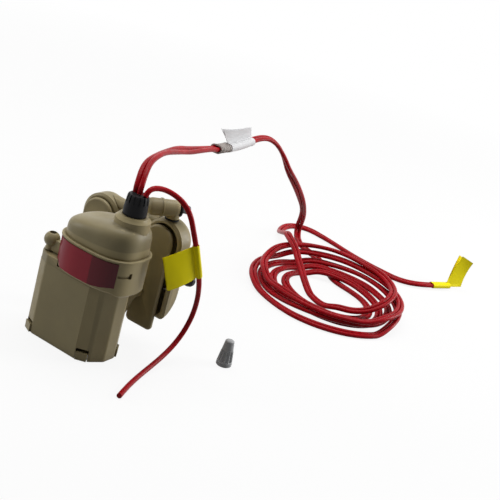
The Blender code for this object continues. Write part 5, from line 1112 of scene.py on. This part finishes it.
def crossover_duct():
    duct = add_object("crossover_duct", duct_solid(DUCT_R, 0.0))
    boolean(duct, cutter("duct_bore", duct_solid(DUCT_BORE_R, 0.001)))


def outlet_elbow():
    barrel = upright(PIVOT_X, PIVOT_Y, BARREL_Z, math.radians(BARREL_YAW))
    lay = barrel @ along((1, 0, 0), (0, 0, 0))
    front, back, seam = -BARREL_FRONT, BARREL_BACK, -BARREL_SEAM
    profile = [(0.0, front), (BARREL_R * 0.55, front), (BARREL_R * 0.9, front + 0.0012),
               (BARREL_R, front + 0.003), (BARREL_R - 0.0001, seam - 0.0006),
               (BARREL_R + 0.0003, seam - 0.0004), (BARREL_R + 0.0003, seam + 0.0004),
               (BARREL_R - 0.0002, seam + 0.0006), (BARREL_R - 0.0002, back - 0.0022),
               (BARREL_R * 0.86, back - 0.0004), (BARREL_R * 0.8, back), (0.0, back)]
    elbow = add_object("outlet_elbow", turned(profile, FINE_ROUND, lay))
    roof = ARCH_Z + CHAMBER_R
    stub_bottom = roof - WALL
    boss = roof + 2 * GAP + SEAL_HEIGHT
    profile = [(0.0, stub_bottom), (SPIGOT_R, stub_bottom), (SPIGOT_R, roof + GAP), (STUB_R, roof + GAP),
               (STUB_R, boss), (STUB_BOSS_R - 0.0003, boss), (STUB_BOSS_R, boss + 0.0003),
               (STUB_BOSS_R + 0.0001, BARREL_Z - 0.0022), (STUB_BOSS_R, BARREL_Z - 0.001),
               (0.0, BARREL_Z - 0.001)]
    stub = turned(profile, ROUND, upright(PIVOT_X, PIVOT_Y, 0, 0.11))
    boolean(elbow, cutter("elbow_stub", stub), "UNION")
    bore = rod(STUB_BORE_R, (PIVOT_X, PIVOT_Y, stub_bottom - 0.002), (PIVOT_X, PIVOT_Y, BARREL_Z))
    boolean(elbow, cutter("stub_bore", bore))
    run = rod(BARREL_BORE_R, barrel @ Vector((-0.0022, 0, 0)), barrel @ Vector((BARREL_BACK + 0.002, 0, 0)))
    boolean(elbow, cutter("barrel_bore", run))

    start = BARREL_BACK + GAP
    ring = ring_profile(BARB_R + GAP, RING_R, start, start + RING_THICK)
    add_object("outlet_seal_ring", turned(ring, FINE_ROUND, lay))
    inner = BARREL_BORE_R - GAP
    end = start + RING_THICK + BARB_LENGTH
    barb = [(BARB_BORE_R, -0.0006), (inner, -0.0006), (inner, BARREL_BACK), (BARB_R, BARREL_BACK),
            (BARB_R, end - 0.0022), (BARB_R + 0.00025, end - 0.0020), (BARB_R - 0.0003, end),
            (BARB_BORE_R, end)]
    add_object("outlet_barb", turned(barb, ROUND, lay))
    seal = ring_profile(STUB_R + GAP, STUB_R + GAP + SEAL_WIDTH, roof + GAP, roof + GAP + SEAL_HEIGHT)
    add_object("elbow_seal", turned(seal, 24, upright(PIVOT_X, PIVOT_Y)))


def vent_plug():
    lay = along((1, 0, 0), (CHAMBER_X + CHAMBER_R + GAP, PLUG_Y, PLUG_Z))
    profile = [(0.0, -WALL - 0.0008), (PLUG_STEM_R, -WALL - 0.0008), (PLUG_STEM_R, 0.0),
               (PLUG_STEM_R + 0.0007, 0.0), (PLUG_STEM_R + 0.0007, PLUG_NECK), (PLUG_HEAD_R, PLUG_NECK),
               (PLUG_HEAD_R, PLUG_HEAD * 0.68), (PLUG_HEAD_R * 0.82, PLUG_HEAD * 0.88),
               (PLUG_HEAD_R * 0.45, PLUG_HEAD), (0.0, PLUG_HEAD)]
    add_object("vent_plug", turned(profile, FINE_ROUND, lay))


# ================================================================ wires
def smooth_path(points, spacing, after=None, before=None):
    """A Catmull-Rom curve through the points, resampled at an even spacing."""
    control = np.array(points, dtype=float)
    first = 2 * control[0] - control[1] if before is None else np.array(before, dtype=float)
    last = 2 * control[-1] - control[-2] if after is None else np.array(after, dtype=float)
    control = np.vstack([first, control, last])
    fine = []
    for i in range(1, len(control) - 2):
        p0, p1, p2, p3 = control[i - 1:i + 3]
        for t in np.linspace(0.0, 1.0, 24, endpoint=False):
            fine.append(0.5 * (2 * p1 + (p2 - p0) * t + (2 * p0 - 5 * p1 + 4 * p2 - p3) * t * t
                               + (3 * p1 - p0 - 3 * p2 + p3) * t ** 3))
    fine.append(control[-2])
    return resample(np.array(fine), spacing)


def resample(path, spacing):
    run = distances(path)
    count = max(int(round(run[-1] / spacing)), 2)
    return sampled(path, run, np.linspace(0.0, run[-1], count + 1))


def coil_plan():
    """Loops of the pair seen from above, running clockwise; each loop has a place of its own in the heap."""
    points = []
    shapes = np.array(COIL_SHAPE)
    marks = np.arange(len(shapes)) - 0.5
    turn = math.radians(COIL_TILT)
    for i in range(round(COIL_TURNS * COIL_POINTS) + 1):
        turns = i / COIL_POINTS
        angle = math.radians(COIL_START) - 2 * math.pi * turns
        spread = [turns + shift for shift in (-0.24, -0.08, 0.08, 0.24)]
        centre_x, centre_y, half_x, half_y = (np.interp(spread, marks, column).mean() for column in shapes.T)
        wander = COIL_WANDER * min(turns, 1.0)
        x, y = half_x * math.cos(angle - turn), half_y * math.sin(angle - turn)
        points.append((centre_x + x * math.cos(turn) - y * math.sin(turn) + wander * math.sin(1.9 * turns),
                       centre_y + x * math.sin(turn) + y * math.cos(turn) + wander * math.cos(2.6 * turns)))
    return np.array(points)


def settle(plan, floor, under):
    """Lays a pair of wires down along its plan: each strand rests on those already there.

    The pair is treated as a flat band. Where it crosses an earlier strand it rides over it, and its
    stiffness spreads each rise into a long low hump.
    """
    first = len(under)
    plan = np.vstack([np.array(under)[:, :2], plan])
    count = len(plan)
    parts = 8
    band = 2 * PAIR_HALF
    pitch = WIRE_D + COIL_CLEAR
    share = np.arange(parts) / parts
    ahead = plan[1:] - plan[:-1]
    fine = (plan[:-1, None, :] + ahead[:, None, :] * share[None, :, None]).reshape(-1, 2)
    owner = np.repeat(np.arange(count - 1), parts)
    weight = np.tile(share, count - 1)
    distance = np.linalg.norm(fine[:, None, :] - fine[None, :, :], axis=2)
    beyond = np.clip((distance - band) / pitch, 0.0, 1.0)
    lift = pitch * np.sqrt(1.0 - beyond ** 2)
    contact = (distance < band + pitch) & (owner[:, None] - owner[None, :] > COIL_POINTS // 3)
    height = np.full(count, floor)
    height[:first] = np.array(under)[:, 2]
    step = np.linalg.norm(ahead, axis=1)
    for _ in range(SETTLE_PASSES):
        for i in range(first, count):
            mine = np.flatnonzero((owner == i) | (owner == i - 1))
            need = floor
            for k in mine:
                below = np.flatnonzero(contact[k])
                if len(below):
                    share_here, at = weight[below], owner[below]
                    level = height[at] * (1 - share_here) + height[at + 1] * share_here
                    need = max(need, float((level + lift[k, below]).max()))
            height[i] = max(height[i], need)
            height[i] = max(height[i], height[i - 1] - COIL_SLOPE * step[i - 1])
        for i in range(count - 2, first, -1):
            height[i] = max(height[i], height[i + 1] - COIL_SLOPE * step[i])
    return height[first:]


def from_gland(place, route):
    """A route that first leaves the gland's top straight up for one wire diameter."""
    return [(*place, GLAND_OUT), (*place, GLAND_OUT + WIRE_D)] + list(route)


def pair_route():
    """Centre line of the pair, as two stretches: the run through the air, then the coil with its tail."""
    coil = coil_plan()
    route = from_gland(PAIR_EXIT, PAIR_ROUTE)
    run = smooth_path(route[1:] + [(*coil[0], WIRE_FLOOR)], 2.7 * WIRE_D, (*coil[1], WIRE_FLOOR), route[0])
    run = np.vstack([route[0], run])
    run[:, 2] = np.maximum(run[:, 2], WIRE_FLOOR)
    tail = smooth_path([coil[-1], *TAIL_ROUTE], 3.0 * WIRE_D, None, coil[-2])[1:]
    joined = np.vstack([coil, tail])
    under = [point for point in run[:-1] if point[1] > coil[0][1] - 0.05 and point[2] < 2 * WIRE_D]
    height = settle(joined, WIRE_FLOOR, under)
    steps = distances(joined)
    rise = ease(np.clip((steps - steps[-1] + FAR_TAG_LENGTH + 0.020) / 0.020, 0.0, 1.0))
    height = np.maximum(height, WIRE_FLOOR + (GAP + TAG_SHEET) * rise)
    return run, np.column_stack([joined, height])


def smoothed(path, passes, amount=None):
    """Rounds a path off; amount, from 0 to 1 at each point, says how freely it may move."""
    path = np.array(path)
    share = np.ones(len(path)) if amount is None else amount
    for _ in range(passes):
        moved = path[1:-1] * 0.5 + (path[:-2] + path[2:]) * 0.25
        path[1:-1] += (moved - path[1:-1]) * share[1:-1, None]
    return path


def pair_line():
    """Fine centre line of the pair and the level side vector, rolled a little as it goes."""
    run, laid = pair_route()
    path = smoothed(smooth_path(np.vstack([run[1:-1], laid]), FINE, None, run[0]), 4)
    path[:, 2] = np.maximum(path[:, 2], WIRE_FLOOR)
    lead = [np.array((*PAIR_EXIT, GLAND_OUT + WIRE_D * share)) for share in (0.0, 0.35, 0.7)]
    path = np.vstack([lead, path])
    ahead = unit(np.gradient(path, axis=0))
    steps = distances(path)
    side = np.column_stack([ahead[:, 1], -ahead[:, 0], np.zeros(len(path))])
    length = np.linalg.norm(side, axis=1)
    for i in range(len(path)):
        side[i] = side[i] / length[i] if length[i] > 0.3 else (side[i - 1] if i else (1.0, 0.0, 0.0))
        if i and side[i] @ side[i - 1] < 0:
            side[i] = -side[i]
    share = ease(np.clip(steps / 0.060, 0.0, 1.0)[:, None])
    side = side * share + np.array([[1.0, 0.0, 0.0]]) * (1 - share)
    side = unit(side - ahead * (side * ahead).sum(axis=1, keepdims=True))
    lift = np.cross(side, ahead)
    lift *= np.sign(lift[:, 2:3] + 1e-9)
    high = np.clip((path[:, 2] - 0.012) / 0.02, 0.0, 1.0)
    roll = np.radians(FLOOR_ROLL + AIR_ROLL * high) * np.sin(2 * math.pi * steps / ROLL_LENGTH)
    roll *= np.clip(steps / 0.05, 0.0, 1.0)
    near_band = np.clip(np.abs(steps - (SLEEVE_FROM + WHITE_TAG_TO) / 2) / 0.05 - 0.6, 0.0, 1.0)
    to_end = steps[-1] - steps
    roll *= near_band * np.clip(to_end / 0.04 - 0.4, 0.0, 1.0)
    path[:, 2] += WIRE_SIDE * np.abs(np.sin(roll)) * (1 - high)
    path[:, 2] += TAG_LIFT * np.clip(1 - to_end / 0.05, 0.0, 1.0)
    side = side * np.cos(roll)[:, None] + lift * np.sin(roll)[:, None]
    return path, side, steps


def wire_curve(name, path):
    curve = bpy.data.curves.new(name, "CURVE")
    curve.dimensions = "3D"
    curve.bevel_depth = WIRE_D / 2
    curve.bevel_resolution = 4
    curve.use_fill_caps = True
    spline = curve.splines.new("POLY")
    spline.points.add(len(path) - 1)
    for point, place in zip(spline.points, path):
        point.co = (*place, 1.0)
    spline.use_smooth = True
    curve.materials.append(SKINS["red_wire"])
    made = add_to_scene(name, curve)
    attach(made, "pump")
    return made


# ================================================================ sleeve and tags
def picked(path, side, steps, start, end, count):
    """Even samples of the line and of its side vectors between two distances."""
    marks = np.linspace(start, end, count)
    place = sampled(path, steps, marks)
    turn = unit(sampled(side, steps, marks))
    ahead = unit(np.gradient(place, axis=0))
    lift = np.cross(turn, ahead)
    return place, turn, (-lift if lift[:, 2].mean() < 0 else lift), ahead


def band_section(half_pair, radius, steps):
    """A stadium round one wire or a pair, as (across, up) points."""
    points = []
    for centre, first in ((half_pair, -90.0), (-half_pair, 90.0)):
        for i in range(steps + 1):
            angle = math.radians(first + 180.0 * i / steps)
            points.append((centre + radius * math.cos(angle), radius * math.sin(angle)))
    return points


def band_rings(place, wide, up, half_pair, radius, steps):
    """Stadium outlines square to the line at each of its places."""
    section = band_section(half_pair, radius, steps)
    return [[Vector(place[i] + wide[i] * a + up[i] * b) for a, b in section] for i in range(len(place))]


def sleeve_form(path, side, steps):
    """A thin sleeve drawn round the pair, with soft ripples and open ends."""
    count = 40
    place, turn, lift = picked(path, side, steps, SLEEVE_FROM, SLEEVE_TO, count)[:3]
    outer, inner = [], []
    for i in range(count):
        ripple = 0.00018 * math.sin(i * 1.1) + 0.00012 * math.sin(i * 2.7 + 1.0)
        flare = 0.0004 * math.exp(-min(i, count - 1 - i) / 2.0)
        at = (place[i:i + 1], turn[i:i + 1], lift[i:i + 1], WIRE_SIDE)
        outer += band_rings(*at, WIRE_D / 2 + 0.0008 + ripple + flare, 14)
        inner += band_rings(*at, WIRE_D / 2 + 0.0003 + flare * 0.6, 14)
    add_object("wire_sleeve", loft(bmesh.new(), outer + inner[::-1], closed=True))


def leaf_rings(place, root, reach, normal, bend):
    """Cross-sections of one leaf of a folded tag, from the fold to its free edge."""
    rows = 14
    rings = []
    for i in range(len(place)):
        points = [root[i] + reach[i] * (k / rows) + normal[i] * bend(k / rows, i / (len(place) - 1))
                  for k in range(rows + 1)]
        half = normal[i] * FILM_THICK / 2
        rings.append([Vector(p + half) for p in points] + [Vector(p - half) for p in points[::-1]])
    return rings


def folded_tag(node, place, wide, up, hug, reach, normal, radius, half_pair, leaves, band=1.0, rooted=0.85):
    """A film tag folded round the wire: a band that hugs it and two leaves pressed together.

    Each leaf is its bend, as a function of the shares up and along it, and the shares of the tag's
    length at which it starts and stops.
    """
    bm = bmesh.new()
    last = len(place) - 1
    hugged = place[:int(round(last * band)) + 1]
    outer = band_rings(hugged, wide, up, half_pair, radius, 12)
    inner = band_rings(hugged, wide, up, half_pair, radius - FILM_THICK, 12)
    loft(bm, outer + inner[::-1], closed=True)
    for (bend, start, stop), offset in zip(leaves, (-0.00016, 0.00016)):
        part = slice(int(start * last), int(stop * last) + 1)
        root = place[part] + hug[part] * (radius * rooted) + normal[part] * offset
        loft(bm, leaf_rings(place[part], root, reach[part], normal[part], bend))
    add_object(node, bm)


def white_tag(path, side, steps):
    """Stands up from the pair."""
    place, turn, lift, ahead = picked(path, side, steps, WHITE_TAG_FROM, WHITE_TAG_TO, 30)
    far = np.linspace(0.0, 1.0, len(place))[:, None]
    height, lean = WHITE_TAG_REACH - WHITE_TAG_FALL * far, WHITE_TAG_LEAN - WHITE_TAG_SPREAD * far
    folded_tag("white_tag", place, turn, lift, lift, lift * height - ahead * lean, np.cross(lift, ahead),
               WIRE_D / 2 + 0.0012, WIRE_SIDE,
               ((lambda s, t: 0.0010 * s * s, 0.0, 1.0),
                (lambda s, t: -0.0013 * s * s * (1 - t), 0.03, 1.0)))


def near_tag(single):
    """Hangs from the single wire."""
    place = sampled(single, distances(single), np.linspace(NEAR_TAG_FROM, NEAR_TAG_TO, 30))
    ahead = unit(np.gradient(place, axis=0))
    out = np.array(NEAR_TAG_SIDE) / np.linalg.norm(NEAR_TAG_SIDE)
    flat = unit(out - ahead * (ahead @ out)[:, None])
    normal = np.cross(flat, ahead)
    reach = np.repeat(out[None, :] * NEAR_TAG_REACH, len(place), axis=0)

    def curl(s, t):
        return 0.0016 * math.sin(s * 2.6) * (0.4 + 0.6 * t)

    folded_tag("yellow_tag_near", place, flat, normal, flat, reach, normal, WIRE_D / 2 + 0.0004, 0.0,
               ((curl, 0.0, 1.0), (lambda s, t: curl(s, t) + 0.0006 * s * s, 0.0, 1.0)))


def far_tag(path, side, steps):
    """Stands at the pair's end and reaches beyond it, its two leaves fanned apart."""
    end, more = steps[-1], 24
    place, turn = picked(path, side, steps, end - FAR_TAG_LENGTH * 0.55, end, 18)[:2]
    line = (place[-1] - place[0]) / np.linalg.norm(place[-1] - place[0])
    stride = FAR_TAG_LENGTH * 0.72 / more
    place = np.vstack([place] + [place[-1] + line * stride * (k + 1) for k in range(more)])
    count = len(place)
    ahead = np.repeat(line[None, :], count, axis=0)
    out = np.array((0.0, FAR_TAG_BACK, FAR_TAG_RISE))
    hug = unit(np.repeat(np.cross(np.cross(line, out), line)[None, :], count, axis=0))
    normal = np.cross(hug, ahead)
    wide = np.repeat(turn[-1][None, :], count, axis=0)
    far = np.clip((np.linspace(0.0, 1.0, count) - FAR_FLAG_AT) / (1 - FAR_FLAG_AT), 0.0, 1.0)[:, None]
    reach = out[None, :] * 0.94 + far * np.array(FAR_FLAG_TURN)[None, :]
    folded_tag("yellow_tag_far", place, wide, np.cross(wide, ahead), hug, reach, normal, WIRE_D / 2 + 0.0004,
               WIRE_SIDE, ((lambda s, t: 0.0012 * math.sin(s * 2.2), FAR_FLAG_AT, 0.90),
                           (lambda s, t: -0.0055 * s * s * (0.5 + 0.5 * t), FAR_FLAG_AT, 1.0)),
               FAR_FLAG_AT + 0.08, -0.6)


# ================================================================ loose wire connector
def connector_form():
    """A twist-on connector: flared skirt, ribbed grip, tapered smooth top and an open socket."""
    sides, ribs = 96, 12
    grip_low, grip_high = 0.0028, NUT_HEIGHT * 0.62
    heights = [0.0, 0.0003, 0.0008, 0.0022, NUT_SKIRT, 0.0030, *np.linspace(0.0034, grip_high, 10)]
    heights += [NUT_HEIGHT * share for share in (0.66, 0.70, 0.82, 0.93)]
    heights += [NUT_HEIGHT - 0.0007, NUT_HEIGHT - 0.0003, NUT_HEIGHT]
    socket = ((NUT_TOP_R * 0.45, NUT_HEIGHT - 0.0025), (NUT_TOP_R * 0.75, NUT_HEIGHT - 0.003),
              (NUT_BASE_R - 0.0016, 0.0050), (NUT_BASE_R - 0.0010, 0.0004), (NUT_BASE_R - 0.0008, 0.0))
    rings = [circle(radius, height, sides, NUT_X, NUT_Y) for radius, height in socket]
    for height in heights:
        taper = min(max((height - NUT_SKIRT) / (NUT_HEIGHT - NUT_SKIRT), 0.0), 1.0)
        base = (NUT_BASE_R - 0.0002) * (1 - taper) + NUT_TOP_R * taper
        if height < NUT_SKIRT:
            base = NUT_BASE_R - (0.0003 if height == 0.0 else 0.0)
        if height > NUT_HEIGHT - 0.0008:
            base -= 0.0010 * ((height - NUT_HEIGHT + 0.0008) / 0.0008) ** 2
        ring = []
        for angle in (2 * math.pi * i / sides for i in range(sides)):
            radius = base
            if grip_low < height < grip_high:
                radius += 0.00010 - 0.00042 * (1 - max(math.cos(ribs * angle), -0.25))
            ring.append(Vector((NUT_X + radius * math.cos(angle), NUT_Y + radius * math.sin(angle), height)))
        rings.append(ring)
    add_object("wire_connector", loft(bmesh.new(), rings))


# ================================================================ label
def label_form():
    """The label follows the skirt; its map runs along and across it."""
    bm = bmesh.new()
    layer = bm.loops.layers.uv.new("UVMap")
    steps, rises = 90, 6
    grid = {}
    for s in range(steps + 1):
        angle = math.radians(LABEL_FROM + (LABEL_TO - LABEL_FROM) * s / steps)
        for r in range(rises + 1):
            low = label_bottom(s / steps)
            z = low + (LABEL_TOP - low) * r / rises
            for side, offset in enumerate((GAP / 2, GAP / 2 + LABEL_THICK)):
                grid[s, r, side] = bm.verts.new((*cap_point(angle, offset), z))

    def face(corners):
        made = bm.faces.new([grid[c] for c in corners])
        for loop, (s, r, _) in zip(made.loops, corners):
            loop[layer].uv = (s / steps, r / rises)

    for s in range(steps):
        for r in range(rises):
            face(((s, r, 1), (s + 1, r, 1), (s + 1, r + 1, 1), (s, r + 1, 1)))
            face(((s, r, 0), (s, r + 1, 0), (s + 1, r + 1, 0), (s + 1, r, 0)))
        face(((s, 0, 0), (s + 1, 0, 0), (s + 1, 0, 1), (s, 0, 1)))
        face(((s, rises, 1), (s + 1, rises, 1), (s + 1, rises, 0), (s, rises, 0)))
    for r in range(rises):
        face(((0, r, 0), (0, r, 1), (0, r + 1, 1), (0, r + 1, 0)))
        face(((steps, r, 1), (steps, r, 0), (steps, r + 1, 0), (steps, r + 1, 1)))
    add_object("rating_label", bm)


# ================================================================ put together
BEVELS = {"pump_casing": 0.00030, "domed_cap": 0.00030, "strainer_base": 0.00020, "float_cover": 0.00025,
          "riser_cover": 0.00025, "float_chamber": 0.00025, "riser_chamber": 0.00025, "link_pipe": 0.00020,
          "rear_brace": 0.00040, "outlet_elbow": 0.00025, "outlet_seal_ring": 0.00020, "outlet_barb": 0.00012,
          "vent_plug": 0.00030, "cap_screw_front": 0.00012, "cap_screw_rear": 0.00012, "cable_gland": 0.00025}

pair, pair_side, pair_steps = pair_line()
for number, sign in ((1, -1.0), (2, 1.0)):
    made = wire_curve("lead_wire_%d" % number, pair + pair_side * WIRE_SIDE * sign)
    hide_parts("lead_wire_%d_run" % number, "lead_wire_%d_coil" % number)
route = from_gland(SINGLE_EXIT, SINGLE_ROUTE)
single_line = smoothed(np.vstack([route[0], smooth_path(route[1:], FINE, None, route[0])]), 4)
free = np.clip((np.arange(len(single_line)) * FINE - SINGLE_HELD) / 0.02, 0.0, 1.0)
single_line = smoothed(single_line, SINGLE_EASED, free)
single_line[:, 2] = np.maximum(single_line[:, 2], WIRE_FLOOR)
third = wire_curve("lead_wire_3_line", single_line)
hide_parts("lead_wire_3")

for build in (pump_casing, strainer_base, domed_cap, cap_screws, cable_gland, rear_unit, crossover_duct,
              outlet_elbow, vent_plug, connector_form, label_form):
    build()
sleeve_form(pair, pair_side, pair_steps)
white_tag(pair, pair_side, pair_steps)
near_tag(single_line)
far_tag(pair, pair_side, pair_steps)

for made in FORMS.values():
    if made.modifiers:
        settle_mesh(made)
for tool in CUTTERS:
    bpy.data.objects.remove(tool)
for node, made in FORMS.items():
    if node in BEVELS:
        step = made.modifiers.new("soft_edges", "BEVEL")
        step.width = BEVELS[node]
        step.segments = BEVEL_STEPS
        step.limit_method = "ANGLE"
        step.angle_limit = math.radians(BEVEL_ANGLE)
        step.use_clamp_overlap = True
        settle_mesh(made)
    dress(made, node, "dark_metal" if node == "outlet_barb" else SLOT_OF[node])
    if node in BEVELS:
        step = made.modifiers.new("even_faces", "WEIGHTED_NORMAL")
        step.mode = "FACE_AREA"
        step.weight = 70
        step.keep_sharp = True
        settle_mesh(made)

for node, made in frame["nodes"].items():
    if not made.hide_render:
        wear(made.data, SLOT_OF[node])


# ================================================================ floor and light
AMBIENT = 0.05               # light from all round, as the object sees it
FLOOR_BOUNCE = 0.32          # how much of its light the floor gives back to the object
FLOOR_GLOW = 0.89            # share of the floor that glows near the object, where shadows show
FLOOR_HALF = 12.0
FLOOR_Z = -0.0002            # just under the feet


def map_range(tree, value, low, high, start=0.0, end=1.0):
    """Maps start to end onto low to high."""
    values = {"Value": value, "From Min": start, "From Max": end, "To Min": low, "To Max": high}
    return add_node(tree, "MapRange", values).outputs["Result"]


def combine(tree, operation, first, second):
    return add_node(tree, "Math", {0: first, 1: second}, operation=operation).outputs[0]


def background_rays(tree):
    """1 for the rays that show the background: camera, glossy and transmission ones."""
    seen = add_node(tree, "LightPath").outputs
    either = combine(tree, "MAXIMUM", seen["Is Camera Ray"], seen["Is Glossy Ray"])
    return combine(tree, "MAXIMUM", either, seen["Is Transmission Ray"])


def floor_skin():
    """A matt floor that also glows, to the rays that show the background: in part here, wholly far away."""
    made, tree = new_material("studio_floor")[:2]
    tree.nodes.clear()
    seen = background_rays(tree)
    away = add_node(tree, "VectorMath", {0: own_place(tree)}, operation="LENGTH").outputs["Value"]
    share = combine(tree, "MULTIPLY", seen, map_range(tree, away, FLOOR_GLOW, 1.0, 0.30, 1.0))
    matt = add_node(tree, "BsdfDiffuse", {"Color": map_range(tree, seen, FLOOR_BOUNCE, 0.92)}).outputs[0]
    glow = add_node(tree, "Emission", {"Color": WHITE}).outputs[0]
    blend = add_node(tree, "MixShader", {"Fac": share, 1: matt, 2: glow}).outputs[0]
    add_node(tree, "OutputMaterial", {"Surface": blend})
    return made


bm = bmesh.new()
bmesh.ops.create_grid(bm, x_segments=1, y_segments=1, size=FLOOR_HALF)
floor = to_object("floor", bm)
floor.location.z = FLOOR_Z
floor.data.materials.append(floor_skin())

world = bpy.data.worlds.new("studio")
bpy.context.scene.world = world
world.use_nodes = True
sky = world.node_tree
strength = map_range(sky, background_rays(sky), AMBIENT, 1.0)
feed(sky.nodes["Background"], {"Color": WHITE, "Strength": strength})


def soft_lamp(name, place, target, size, power):
    lamp = bpy.data.lights.new(name, "AREA")
    lamp.shape = "RECTANGLE"
    lamp.size, lamp.size_y = size
    lamp.energy = power
    made = add_to_scene(name, lamp)
    made.location = place
    made.rotation_euler = (Vector(target) - Vector(place)).to_track_quat("-Z", "Y").to_euler()


soft_lamp("overhead", (-0.10, 0.20, 0.80), (0.03, 0.08, 0.0), (0.8, 0.6), 5.4)
soft_lamp("left", (-0.72, -0.40, 0.30), (0.0, 0.0, 0.04), (0.30, 0.5), 2.1)
soft_lamp("right_rear", (0.54, 0.68, 0.30), (0.02, 0.03, 0.05), (0.35, 0.6), 5.0)

bpy.context.scene.view_settings.view_transform = "Standard"
